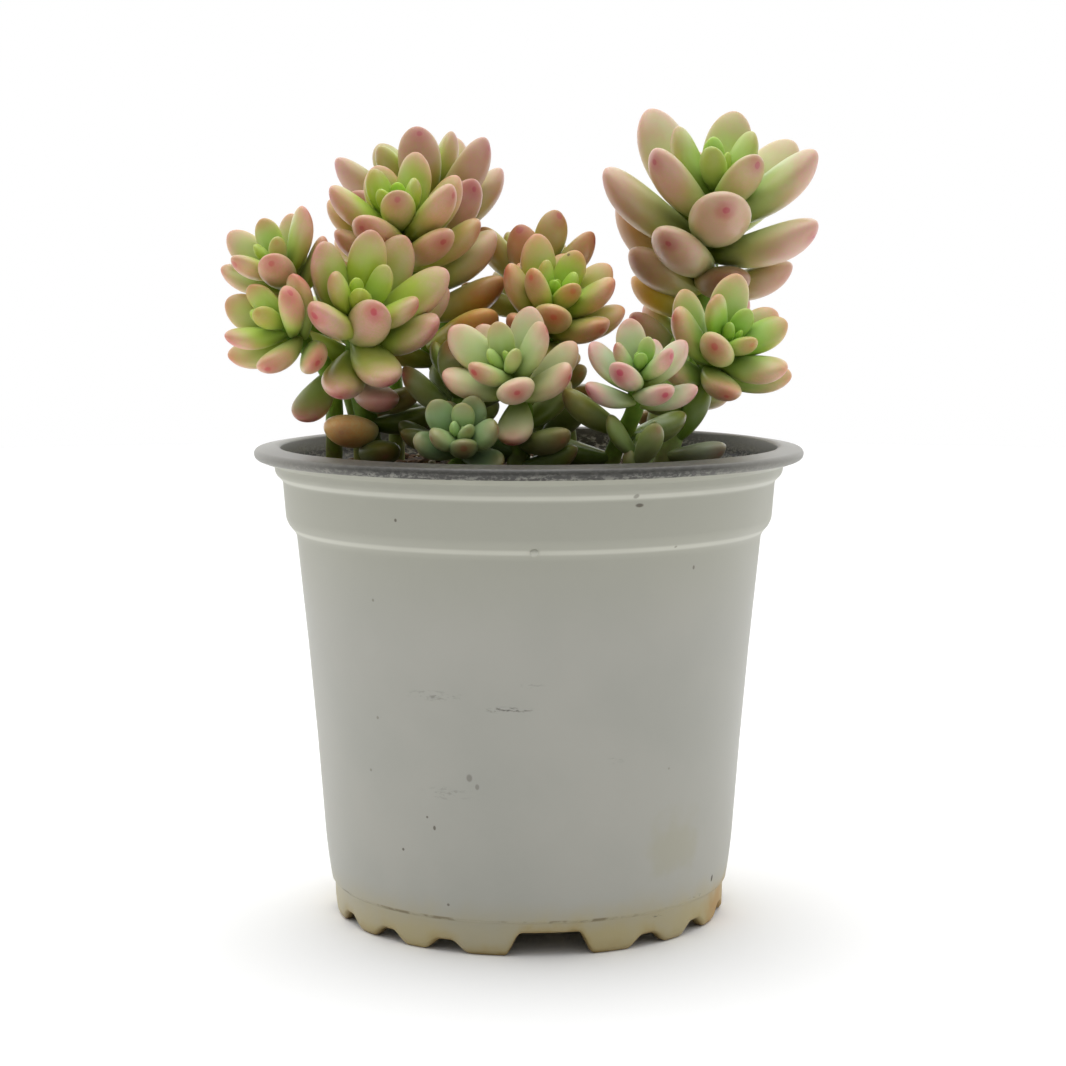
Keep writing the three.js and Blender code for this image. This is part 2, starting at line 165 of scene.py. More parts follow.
def make_floor():
    bm = bmesh.new()
    bmesh.ops.create_circle(bm, cap_ends=True, segments=FLOOR_SIDES, radius=FLOOR_RADIUS * MM)
    mesh = bpy.data.meshes.new("floor")
    bm.to_mesh(mesh)
    bm.free()
    material, tree, shader = new_material("white_paper_sweep", Roughness=0.9)
    shader.inputs["Base Color"].default_value = linear("#fdfdfd")
    mesh.materials.append(material)
    floor = bpy.data.objects.new("floor", mesh)
    floor.location.z = -FLOOR_DROP * MM
    bpy.context.scene.collection.objects.link(floor)


def make_sky():
    """White for the camera, and for the light a soft glow that grows backwards and upwards."""
    sky = bpy.data.worlds.new("sky")
    sky.use_nodes = True
    tree = sky.node_tree
    tree.nodes.clear()
    way = add_node(tree, "TexCoord", output="Generated")
    back = add_node(tree, "SeparateXYZ", (way,), "Y")
    upper = add_node(tree, "Math", (back.node.outputs["Z"], 0.0), operation="MAXIMUM")
    glow = add_node(tree, "MapRange", (back, *SKY_TURNS, SKY_FRONT, SKY_BEHIND), **EASED)
    strength = add_node(tree, "Math", (upper, SKY_ABOVE, glow), operation="MULTIPLY_ADD")
    lit = add_node(tree, "Background", {"Color": linear("#ffffff"), "Strength": strength})
    seen = add_node(tree, "Background", {"Color": linear("#ffffff"), "Strength": 1.0})
    by_camera = add_node(tree, "LightPath", output="Is Camera Ray")
    mixed = add_node(tree, "MixShader", (by_camera, lit, seen))
    tree.links.new(mixed, tree.nodes.new("ShaderNodeOutputWorld").inputs["Surface"])
    bpy.context.scene.world = sky


def make_panel(name, place, size, power):
    """A soft panel that faces the middle of the plant."""
    light = bpy.data.lights.new(name, "AREA")
    light.shape = "RECTANGLE"
    light.size, light.size_y = size[0] * MM, size[1] * MM
    light.energy = power
    panel = bpy.data.objects.new(name, light)
    panel.location = Vector(place) * MM
    towards = Vector((0, 0, AIM_HEIGHT)) * MM - panel.location
    panel.rotation_euler = towards.to_track_quat("-Z", "Y").to_euler()
    bpy.context.scene.collection.objects.link(panel)


make_floor()
make_sky()
for panel in PANELS:
    make_panel(*panel)
bpy.context.scene.view_settings.view_transform = "Standard"
print("light: sky", SKY_FRONT, "to", SKY_BEHIND, "and", len(PANELS), "panel")

# %% [markdown]
# The pot is formed from a sheet of plastic, so its wall is one outline turned about an axis, with
# two steps in it, a wide lip and soft corners. A wire outline is the easy way in: bevelling only
# its vertices rounds the corners, and a full spin with merging closes the ring. The same helper
# later turns the soil, the stems and the leaves, which also start as shapes of revolution.


# %% Turning an outline
def turned(outline, sides):
    """A closed bmesh made by spinning (radius, height) points about Z.

    A third number in a point is how far its corner is rounded off.
    """
    bm = bmesh.new()
    points = [bm.verts.new((point[0], 0, point[1])) for point in outline]
    for a, b in zip(points, points[1:]):
        bm.edges.new((a, b))
    for corner in sorted({point[2] for point in outline if len(point) > 2}):
        rounded = [vert for vert, point in zip(points, outline) if point[2:] == (corner,)]
        bmesh.ops.bevel(bm, geom=rounded, offset=corner, affect="VERTICES", segments=4,
                        profile=0.5, material=-1)
    bmesh.ops.spin(bm, geom=bm.verts[:] + bm.edges[:], cent=(0, 0, 0), axis=(0, 0, 1),
                   angle=math.tau, steps=sides, use_merge=True)
    bmesh.ops.remove_doubles(bm, verts=bm.verts, dist=1e-4)
    bmesh.ops.recalc_face_normals(bm, faces=bm.faces)
    return bm


# %% [markdown]
# The foot ring isn't flat: three wide notches let water run out, with four small scallops between
# each pair. Their edges are rounded, as in any formed sheet. Cutting them with booleans would leave
# hard edges and stray triangles, so the foot's lower edge is lifted by a formula instead: the
# height of the notch at each bearing, fading out at the floor of the pot.

# %% The pot's outline and foot
POT_SIDES = 420
POT_HEIGHT = 91
FOOT_OUTER = 38.1
FOOT_INNER = 36
FLOOR_UNDERSIDE = 4.8
FLOOR_TOP = 6
FLOOR_EDGE = 37
# From the foot up: the step over the foot, the wall, the collar, the neck band and the lip.
WALL_OUTSIDE = [
    (37.4, 0, 0.2), (38, 0.9, 0.3), (FOOT_OUTER, 5), (38.15, 6.2, 0.2), (38.7, 6.6, 0.2),
    (39.6, 12, 4), (41.9, 43, 9), (44.95, 74.1, 0.7),
    (46.9, 76.5, 1.1), (47.5, 84.3, 0.4),
    (48.9, 85.7, 0.6), (49.1, 87.3, 0.15),
    (52.7, 88.6, 0.5), (53, 89.6, 0.3), (52.6, 90.4, 0.4), (48.7, POT_HEIGHT, 0.5),
]
WALL_INSIDE = [
    (47.9, 90.6, 0.2), (47.5, 86.8, 0.5), (46.1, 84.6, 0.5), (45.4, 76.8, 0.5), (43.8, 74, 0.5),
    (40.8, 43), (37.9, 7.4, 0.5),
]
NOTCH_BEARING = 276
NOTCH_COUNT = 3
NOTCH_HEIGHT = 4.4
NOTCH_HALF_WIDTH = 6.9
NOTCH_SLOPE = 3.2
SCALLOP_STEPS = (30, 50, 70, 90)
SCALLOP_HEIGHT = 2.2
SCALLOP_HALF_WIDTH = 2.9
SCALLOP_SLOPE = 3.8


def smooth(share):
    """Eases a share from 0 to 1, flat at both ends."""
    share = min(1.0, max(0.0, share))
    return share * share * (3 - 2 * share)


def notch_height(bearing):
    """How high the foot's edge stands at a bearing in degrees, in mm."""
    height = 0.0
    for k in range(NOTCH_COUNT):
        centre = NOTCH_BEARING + k * 360 / NOTCH_COUNT
        steps = [(0, NOTCH_HEIGHT, NOTCH_HALF_WIDTH, NOTCH_SLOPE)]
        steps += [(step, SCALLOP_HEIGHT, SCALLOP_HALF_WIDTH, SCALLOP_SLOPE) for step in SCALLOP_STEPS]
        for step, top, half_width, slope in steps:
            turn = (bearing - centre - step + 180) % 360 - 180
            along = abs(math.radians(turn)) * FOOT_OUTER
            height = max(height, top * smooth((half_width + slope / 2 - along) / slope))
    return height


def notch_foot(bm):
    """Lifts the foot's edge into its notches, and notes each point's height over that edge."""
    over_edge = bm.verts.layers.float.new("over_edge")
    for vert in bm.verts:
        edge = notch_height(math.degrees(math.atan2(vert.co.y, vert.co.x)))
        if vert.co.z < FLOOR_UNDERSIDE:
            vert.co.z = edge + vert.co.z * (1 - edge / FLOOR_UNDERSIDE)
        vert[over_edge] = (vert.co.z - edge) * MM


print("foot edge: notch", notch_height(NOTCH_BEARING), "mm high, scallop",
      round(notch_height(NOTCH_BEARING + SCALLOP_STEPS[0]), 2), "mm")

# %% [markdown]
# Six drain holes go through the floor, out of sight. A boolean is right for them, because the floor
# is flat and nobody sees its triangles. The modifier is applied by reading back the evaluated mesh,
# and the cutter is removed. The mould also left a little pip on the step under the collar. A small
# sphere, flattened and half sunk in the wall, is all it needs.

# %% Drain holes and the moulding nub
DRAIN_COUNT = 6
DRAIN_RADIUS = 3.5
DRAIN_RING = 24
DRILL_DEPTH = 6
NUB = {"bearing": 271.3, "height": 75.2, "radius": 46.2, "size": 0.75}


def drilled(bm):
    """The same bmesh with the drain holes cut through its floor."""
    cutter_bm = bmesh.new()
    for k in range(DRAIN_COUNT):
        turn = Matrix.Rotation(math.tau * k / DRAIN_COUNT, 4, "Z")
        place = turn @ Matrix.Translation((0, DRAIN_RING, FLOOR_TOP))
        bmesh.ops.create_cone(cutter_bm, cap_ends=True, segments=32, radius1=DRAIN_RADIUS,
                              radius2=DRAIN_RADIUS, depth=DRILL_DEPTH, matrix=place)
    objects = []
    for name, source in (("undrilled", bm), ("cutter", cutter_bm)):
        mesh = bpy.data.meshes.new(name)
        source.to_mesh(mesh)
        objects.append(bpy.data.objects.new(name, mesh))
        bpy.context.scene.collection.objects.link(objects[-1])
        source.free()
    boolean = objects[0].modifiers.new("drill", "BOOLEAN")
    boolean.object = objects[1]
    result = bmesh.new()
    result.from_object(objects[0], bpy.context.evaluated_depsgraph_get())
    for scratch in objects:
        bpy.data.meshes.remove(scratch.data)
    return result


def add_nub(bm):
    """The little pip that the mould leaves on the step."""
    turn = Matrix.Rotation(math.radians(NUB["bearing"]), 4, "Z")
    squashed = Matrix.Diagonal((0.5, 1, 1, 1))
    place = turn @ Matrix.Translation((NUB["radius"], 0, NUB["height"])) @ squashed
    made = bmesh.ops.create_uvsphere(bm, u_segments=16, v_segments=10, radius=NUB["size"], matrix=place)
    over_edge = bm.verts.layers.float["over_edge"]
    for vert in made["verts"]:
        vert[over_edge] = vert.co.z * MM


# %% [markdown]
# Nursery pots like this are made of two sheets bonded together: a black one inside, which keeps
# light off the roots, and an off-white one outside, which keeps them cool. The black layer shows on
# the inner wall and wraps over the lip. So the pot has two finishes on one mesh, told apart by
# where a face is.

# %% Two layers of plastic
LIP_LINE = 88.2
PALE, DARK = 0, 1


def split_layers(bm):
    """Gives each face the pale outer layer, or the dark inner one that wraps over the lip."""
    for face in bm.faces:
        centre = face.calc_center_median()
        inwards = face.normal.x * centre.x + face.normal.y * centre.y < 0 or face.normal.z > 0.9
        inside = centre.z > FLOOR_TOP - 0.1 and inwards
        face.material_index = DARK if inside or centre.z > LIP_LINE else PALE


# %% [markdown]
# The outer layer is polypropylene, vacuum formed, with a satin surface that years of handling have
# scuffed. What makes it real is dirt in the right places. Marks could be painted on an image, but
# nodes stay sharp from any distance. So each mark is an ellipsoid at a measured bearing and height
# on the wall, and how far a point is from its middle says how strong the mark is there.

# %% Marks on the wall
# Marks: bearing in degrees, height, half length round the pot, half height, strength.
RUB_MARKS = [
    (246.5, 48.5, 7.2, 1.3, 0.5),
    (265.0, 46.4, 6.2, 0.9, 1.0),
    (270.5, 51.0, 2.8, 0.7, 0.5),
    (248.5, 30.4, 6.8, 1.8, 0.35),
    (292.0, 36.5, 2.5, 1.0, 0.3),
    (307.6, 5.4, 2.8, 0.5, 0.9),
    (324.4, 7.2, 3.5, 0.5, 0.9),
    (286.7, 6.4, 4.6, 0.4, 0.5),
    (120.0, 40.0, 9.0, 1.6, 0.5),
    (20.0, 52.0, 6.0, 1.2, 0.5),
    (75.0, 22.0, 5.0, 2.0, 0.4),
]
SPECKS = [
    (255.0, 33.6, 0.7, 0.9, 0.45),
    (257.0, 32.0, 0.5, 0.7, 0.4),
    (243.0, 25.6, 0.3, 0.3, 0.7),
    (245.0, 23.7, 0.35, 0.55, 0.8),
    (235.0, 18.8, 0.35, 0.35, 0.8),
    (248.0, 9.3, 0.35, 0.35, 0.7),
    (240.0, 80.4, 0.35, 0.4, 0.8),
    (293.2, 85.0, 0.7, 0.9, 0.5),
    (294.4, 83.3, 1.0, 0.45, 0.8),
    (332.6, 9.5, 0.5, 0.9, 1.0),
    (312.0, 71.0, 0.35, 0.5, 0.6),
]
print("marks on the wall:", len(RUB_MARKS), "rubs and", len(SPECKS), "specks")


def wall_point(bearing, height):
    """The point of the pot's outer wall at a bearing and height, in mm."""
    radii, heights = zip(*(point[:2] for point in WALL_OUTSIDE))
    radius = np.interp(height, heights, radii)
    turn = math.radians(bearing)
    return Vector((radius * math.cos(turn), radius * math.sin(turn), height))


def mark_distance(tree, place, bearing, height, half_length, half_height):
    """A socket that is 0 at the middle of a mark and 1 at its edge."""
    about = add_node(tree, "Mapping", {
        "Vector": place, "Location": wall_point(bearing, height) * MM,
        "Rotation": (0, 0, math.radians(bearing)),
        "Scale": (half_length * MM, half_length * MM, half_height * MM)}, vector_type="TEXTURE")
    return add_node(tree, "VectorMath", (about,), "Value", operation="LENGTH")


def any_mark(tree, place, marks, core):
    """A socket that is up to a mark's strength inside it, solid up to a share of its radius."""
    dirt = 0.0
    for *ellipsoid, strength in marks:
        distance = mark_distance(tree, place, *ellipsoid)
        mark = add_node(tree, "MapRange", (distance, core, 1.0, strength, 0.0), **EASED)
        dirt = add_node(tree, "Math", (dirt, mark), operation="MAXIMUM")
    return dirt


# %% [markdown]
# Water brings the rest of the dirt: ochre silt along the foot's edge and, paler, above it, more of
# it low on the right and a faint stain over that. A dark line in the crease over the foot is painted
# shadow mixed with dirt. Each fades with a distance that a noise makes ragged, so one loop can lay
# all but the last. Every kind is an amount and a colour.

# %% Silt and stains
RIGHT_SILT = (342.0, 2.5, 9.0, 6.5)
WATER_STAIN = (312.5, 19.0, 8.0, 7.0)
CREASE_HEIGHT = 6.5


def wall_dirt_and_crease_shade(tree, place, height, broad, silt):
    """Pairs of an amount and a colour: the stain, the silt at the foot, and the crease over it, a
    painted shadow line mixed with dirt.
    """
    over_edge = add_node(tree, "Attribute", output="Fac", attribute_name="over_edge")
    patchy = add_node(tree, "MapRange", (broad, 0.3, 0.6, 0.5, 0.9), **EASED)
    stain = mark_distance(tree, place, *WATER_STAIN)
    right = mark_distance(tree, place, *RIGHT_SILT)
    layers = []
    # What each is measured from, how ragged it is, where it starts to fade and ends, its strength.
    for measure, ragged, start, end, strength, hex_colour in (
            (stain, 1.6, 1.2, 1.9, 0.35, "#a49f80"),
            (height, 5 * MM, 5 * MM, 14 * MM, patchy, "#b2a474"),
            (over_edge, 5 * MM, 1.6 * MM, 5 * MM, 0.7, "#a58f52"),
            (over_edge, 1.6 * MM, 0.7 * MM, 1.5 * MM, 0.7, "#7d642f"),
            (right, 1.0, 0.6, 1.6, 0.85, "#ad8540")):
        reach = add_node(tree, "Math", (silt, ragged, measure), operation="MULTIPLY_ADD")
        amount = add_node(tree, "MapRange", (reach, start, end, strength, 0.0), **EASED)
        layers.append((amount, hex_colour))
    # The crease line over the foot: painted shadow, broken up and browned as dirt.
    away = add_node(tree, "Math", (height, CREASE_HEIGHT * MM), operation="SUBTRACT")
    away = add_node(tree, "Math", (away,), operation="ABSOLUTE")
    broken = add_node(tree, "MapRange", (silt, 0.5, 0.62, 0.0, 0.7), **EASED)
    crease_shade_and_dirt = add_node(tree, "MapRange", (away, 0.15 * MM, 0.5 * MM, broken, 0.0), **EASED)
    return layers + [(crease_shade_and_dirt, "#6b5c38")]


# %% [markdown]
# Handling leaves grey rub marks at mid height, and dark specks. The rub marks are broken up by a
# noise that is drawn out sideways, because that is how a pot is rubbed. The tiniest specks come
# from a pattern of cells, and each cell's random colour draws the lot of whether it holds one.

# %% Rubs and specks
RUB_LENGTH = 0.9
SPECK_SPACING = 9


def wall_wear(tree, place):
    """Pairs of an amount and a colour: the rub marks, the specks and a scatter of tiny ones."""
    drawn_out = add_node(tree, "VectorMath", (place, (0.45, 0.45, 1.6)), operation="MULTIPLY")
    rubbed = add_node(tree, "TexNoise", {"Vector": drawn_out, "Scale": 1 / (RUB_LENGTH * MM),
                                         "Detail": 3.0, "Roughness": 0.7})
    rubbed = add_node(tree, "MapRange", (rubbed, 0.5, 0.66, 0.0, 0.85), **EASED)
    rubs = any_mark(tree, place, RUB_MARKS, 0.2)
    rubs = add_node(tree, "Math", (rubs, rubbed), operation="MULTIPLY")
    specks = any_mark(tree, place, SPECKS, 0.5)
    cells = add_node(tree, "TexVoronoi", {"Vector": place, "Scale": 1 / (SPECK_SPACING * MM)})
    lot = add_node(tree, "SeparateColor", (cells.node.outputs["Color"],))
    chosen = add_node(tree, "MapRange", (lot, 0.7, 0.72, 0.0, 0.55), **EASED)
    tiny = add_node(tree, "MapRange", (cells, 0.02, 0.045, chosen, 0.0), **EASED)
    return [(rubs, "#4b4a40"), (specks, "#4a4233"), (tiny, "#6a6654")]


# %% [markdown]
# Under the dirt the plastic is an off-white that drifts in broad clouds, a touch darker near the
# top, with pale painted highlights along the collar's edges. Its dirt and wear are laid over it
# in order, as they came. The faint bump is the grain of the former, about a millimetre wide.

# %% Outer layer finish
# Heights of the pale painted highlight bands on the collar's edges, in mm.
HIGHLIGHT_EDGES = (75.1, 84.9)
# Noises: the size of their patches in mm, and their detail.
CLOUDS, SILT_PATCHES, MOULD_GRAIN = (30, 3.0), (5, 5.0), (1.1, 4.0)


def outer_plastic():
    """Satin off-white polypropylene: soft broad highlights, painted highlight lines on the collar, grey
    rub marks and ochre silt.
    """
    material, tree, shader = new_material("formed_polypropylene_white", IOR=1.49)
    place = add_node(tree, "TexCoord", output="Object")
    height = add_node(tree, "SeparateXYZ", (place,), "Z")
    broad, silt, fine = (
        add_node(tree, "TexNoise", {"Vector": place, "Scale": 1 / (size * MM), "Detail": detail})
        for size, detail in (CLOUDS, SILT_PATCHES, MOULD_GRAIN))
    clouds = add_node(tree, "MapRange", (broad, 0.3, 0.7, 0.0, 1.0), **EASED)
    upper = add_node(tree, "MapRange", (height, 55 * MM, 78 * MM, 0.0, 0.8), **EASED)
    layers = [(clouds, "#afaea5"), (upper, "#a8a89a")]
    uneven_highlight = add_node(tree, "MapRange", (broad, 0.3, 0.6, 0.49, 0.7), **EASED)
    # Painted highlight: pale bands where the collar's edges face the bright floor.
    for highlight_height in HIGHLIGHT_EDGES:
        away = add_node(tree, "Math", (height, highlight_height * MM), operation="SUBTRACT")
        away = add_node(tree, "Math", (away,), operation="ABSOLUTE")
        edge_highlight = add_node(tree, "MapRange", (away, 0.15 * MM, 0.7 * MM, uneven_highlight, 0.0), **EASED)
        layers.append((edge_highlight, "#cfcfc3"))
    layers += wall_dirt_and_crease_shade(tree, place, height, broad, silt) + wall_wear(tree, place)
    colour = linear("#a6a69d")
    for amount, hex_colour in layers:
        colour = add_node(tree, "Mix", {0: amount, 6: colour, 7: linear(hex_colour)}, **COLOURS_MIXED)
    roughness = add_node(tree, "MapRange", (broad, 0.35, 0.65, 0.42, 0.55), **EASED)
    bump = add_node(tree, "Bump", {"Height": fine, "Strength": 0.2, "Distance": 0.05 * MM})
    tree.links.new(colour, shader.inputs["Base Color"])
    tree.links.new(roughness, shader.inputs["Roughness"])
    tree.links.new(bump, shader.inputs["Normal"])
    return material


# %% [markdown]
# The inner layer is the same plastic with carbon black in it. Dust and lime from watering lie on
# the lip as pale specks, thickest on its outer edge, where the pot has been handled and stacked.
# Towards its left and right the lip's band is paler still, partly dust and partly a painted
# reflection of the bright light behind.

# %% Inner layer finish
DUST_GRAIN = 0.7
DUST_PATCH = 9


def inner_plastic():
    """Dusty black polypropylene: dark, half glossy, greyed by fine dust on the lip and by a painted
    reflection at its sides.
    """
    material, tree, shader = new_material("formed_polypropylene_black", IOR=1.49)
    place = add_node(tree, "TexCoord", output="Object")
    height = add_node(tree, "SeparateXYZ", (place,), "Z")
    drawn_out = add_node(tree, "VectorMath", (place, (0.6, 0.6, 1.3)), operation="MULTIPLY")
    dust = add_node(tree, "TexNoise", {"Vector": drawn_out, "Scale": 1 / (DUST_GRAIN * MM),
                                       "Detail": 4.0, "Roughness": 0.65})
    patches = add_node(tree, "TexNoise", {"Vector": place, "Scale": 1 / (DUST_PATCH * MM),
                                          "Detail": 3.0})
    on_lip = add_node(tree, "MapRange", (height, 89.3 * MM, 90.6 * MM, 0.0, 1.0), **EASED)
    # Painted reflection with dust: the lip's band grows paler towards the left and right sides.
    aside = add_node(tree, "Math", (height.node.outputs["X"],), operation="ABSOLUTE")
    aside = add_node(tree, "MapRange", (aside, 25 * MM, 50 * MM, 0.05, 0.6), **EASED)
    settled_dust_and_sheen = add_node(tree, "MapRange", (height, 87.5 * MM, 88.5 * MM, 0.0, aside), **EASED)
    scraped = add_node(tree, "Math", (patches, 1.6 * MM, height), operation="MULTIPLY_ADD")
    scraped = add_node(tree, "MapRange", (scraped, 89.2 * MM, 90.6 * MM, 0.8, 0.1), **EASED)
    scraped = add_node(tree, "MapRange", (dust, 0.45, 0.62, 0.0, scraped), **EASED)
    colour = linear("#292825")
    for amount, hex_colour in (
            (patches, "#363531"), (on_lip, "#403f3b"), (settled_dust_and_sheen, "#97958b"), (scraped, "#98978e")):
        colour = add_node(tree, "Mix", {0: amount, 6: colour, 7: linear(hex_colour)}, **COLOURS_MIXED)
    roughness = add_node(tree, "MapRange", (scraped, 0.0, 0.6, 0.4, 0.6), **EASED)
    bump = add_node(tree, "Bump", {"Height": dust, "Strength": 0.3, "Distance": 0.08 * MM})
    tree.links.new(colour, shader.inputs["Base Color"])
    tree.links.new(roughness, shader.inputs["Roughness"])
    tree.links.new(bump, shader.inputs["Normal"])
    return material


# %% [markdown]
# With its helpers and finishes ready, the pot is one walk through them, in the order in which the
# real one is made: the sheet is formed, its foot is cut, the floor is pierced, and the two layers
# get their colours. The nub comes last, so that the boolean doesn't have to cut round it.

# %% The pot


def make_pot():
    outline = [(0, FLOOR_UNDERSIDE), (FOOT_INNER, FLOOR_UNDERSIDE), (FOOT_INNER, 0)]
    outline += WALL_OUTSIDE + WALL_INSIDE + [(FLOOR_EDGE, FLOOR_TOP), (0, FLOOR_TOP)]
    bm = turned(outline, POT_SIDES)
    notch_foot(bm)
    bm = drilled(bm)
    bm.normal_update()
    split_layers(bm)
    add_nub(bm)
    print("pot:", len(bm.faces), "faces")
    return new_piece(bm, "nursery_pot", "pot", [outer_plastic(), inner_plastic()])


make_pot()

# %% [markdown]
# Potting mix is a heap of unlike grains: fibrous dark peat, bits of bark, pale grit and a few white
# crumbs of perlite. A turned disc with a dense, noisy top is the peat. The loose grains are small
# icospheres, squashed and turned at random, and sunk in it by half. A seeded generator keeps them
# in the same place at every run.

# %% Soil
SOIL_TOP = 86
SOIL_GAP = 0.4
SOIL_SIDES = 180
SOIL_RING_STEP = 1.0
SOIL_RIM = 45.8
HOLLOW_DEPTH = 1.1
GRAIN_COUNT = 620
GRAIN_SEED = 11
GRAIN_MARGIN = 1.5
GRAIN_TIPPED = 0.5
GRAIN_RAISED = 0.15
# The kinds of grain: name, share of them all, smallest and largest size, flattening.
GRAINS = [
    ("bark", 0.62, 0.6, 1.6, (1.5, 0.8, 0.4)),
    ("grit", 0.28, 0.45, 1.0, (1.1, 0.9, 0.8)),
    ("perlite", 0.1, 0.6, 1.6, (1.1, 0.9, 0.8)),
]
print("grains:", [(grain[0], round(grain[1] * GRAIN_COUNT)) for grain in GRAINS])


def soil_height(x, y):
    """The height of the potting mix at a place, in mm: hollows, lumps and fine crumbs."""
    waves = math.sin(0.31 * x + 1.1) * math.sin(0.27 * y) + 0.6 * math.sin(0.53 * x - 0.47 * y)
    crumbs = 0.45 * noise.noise((x * 0.45, y * 0.45, 0)) + 0.3 * noise.noise((x * 1.3, y * 1.3, 5))
    return SOIL_TOP - HOLLOW_DEPTH * (0.5 + 0.3 * waves) + crumbs


def soil_body():
    wall = [(point[0] - SOIL_GAP, point[1]) for point in reversed(WALL_INSIDE) if point[1] < SOIL_TOP]
    outline = [(0, FLOOR_TOP + SOIL_GAP), (FLOOR_EDGE - SOIL_GAP, FLOOR_TOP + SOIL_GAP)] + wall
    rings = int(SOIL_RIM / SOIL_RING_STEP)
    outline += [(SOIL_RIM * (rings - k) / rings, SOIL_TOP) for k in range(rings + 1)]
    bm = turned(outline, SOIL_SIDES)
    for vert in bm.verts:
        if vert.co.z > SOIL_TOP - 0.01:
            vert.co.z = soil_height(vert.co.x, vert.co.y)
    return bm


def scatter_grains(bm):
    """Strews loose grains over the peat, half sunk, each kind with its own material."""
    draw = random.Random(GRAIN_SEED)
    shares = [grain[1] for grain in GRAINS]
    for _ in range(GRAIN_COUNT):
        kind = draw.choices(range(len(GRAINS)), shares)[0]
        smallest, largest, flat = GRAINS[kind][2:]
        radius = (SOIL_RIM - GRAIN_MARGIN) * math.sqrt(draw.random())
        turn = draw.random() * math.tau
        x, y = radius * math.cos(turn), radius * math.sin(turn)
        size = draw.uniform(smallest, largest)
        spin = Matrix.Rotation(draw.random() * math.tau, 4, "Z") @ Matrix.Rotation(
            draw.uniform(-GRAIN_TIPPED, GRAIN_TIPPED), 4, "X")
        shape = Matrix.Diagonal((*[size * share * draw.uniform(0.8, 1.2) for share in flat], 1))
        place = Matrix.Translation((x, y, soil_height(x, y) + size * GRAIN_RAISED)) @ spin @ shape
        grain = bmesh.ops.create_icosphere(bm, subdivisions=1, radius=1, matrix=place)
        for vert in grain["verts"]:
            vert.co += Vector((draw.gauss(0, 0.08), draw.gauss(0, 0.08), draw.gauss(0, 0.06))) * size
        for face in {face for vert in grain["verts"] for face in vert.link_faces}:
            face.material_index = 1 + kind


# %% [markdown]
# Peat is matt and fibrous, so its colour swings between near black and dry brown over a millimetre
# or two, and its bump is strong. Bark chips are the same brown, smoother. Grit is warm grey stone
# and perlite is foamed glass, white and rough.

# %% Soil finishes


def grainy(name, dark, pale, grain_size, bump_height):
    """A rough mineral or fibrous finish that swings between two colours; sizes in mm."""
    material, tree, shader = new_material(name, Roughness=0.95, Specular_IOR_Level=0.25)
    place = add_node(tree, "TexCoord", output="Object")
    grain = add_node(tree, "TexNoise", {"Vector": place, "Scale": 1 / (grain_size * MM),
                                        "Detail": 6.0, "Roughness": 0.7})
    swing = add_node(tree, "MapRange", (grain, 0.35, 0.65, 0.0, 1.0), **EASED)
    colour = add_node(tree, "Mix", {0: swing, 6: linear(dark), 7: linear(pale)}, **COLOURS_MIXED)
    bump = add_node(tree, "Bump", {"Height": grain, "Strength": 0.8, "Distance": bump_height * MM})
    tree.links.new(colour, shader.inputs["Base Color"])
    tree.links.new(bump, shader.inputs["Normal"])
    return material


def make_soil():
    bm = soil_body()
    scatter_grains(bm)
    print("soil:", len(bm.faces), "faces with", GRAIN_COUNT, "grains")
    finishes = [
        grainy("damp_peat", "#231b14", "#5a4735", 1.6, 0.5),
        grainy("pine_bark", "#3a2a1e", "#6e5138", 1.2, 0.2),
        grainy("river_grit", "#7d7566", "#a89f8c", 0.9, 0.1),
        grainy("expanded_perlite", "#c9c6bd", "#e6e4dc", 0.5, 0.15),
    ]
    return new_piece(bm, "potting_mix", "soil", finishes, smooth=False)


make_soil()

# %% [markdown]
# The plant is one rule told sixteen times. A stem climbs out of the soil, bends over and ends in a
# head. In the head each leaf stands a golden turn on from the last, opens wider the older it is,
# and grows to full size. A few single leaves are left on the bare stem. The numbers below are the
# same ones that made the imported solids, so the finer leaves land on the plain ones. HEAD holds what
# all heads share. A row says where its stem stands and where its head looks, in millimetres and
# degrees, and each lower leaf is a place along the stem, a bearing, a lift and a length.

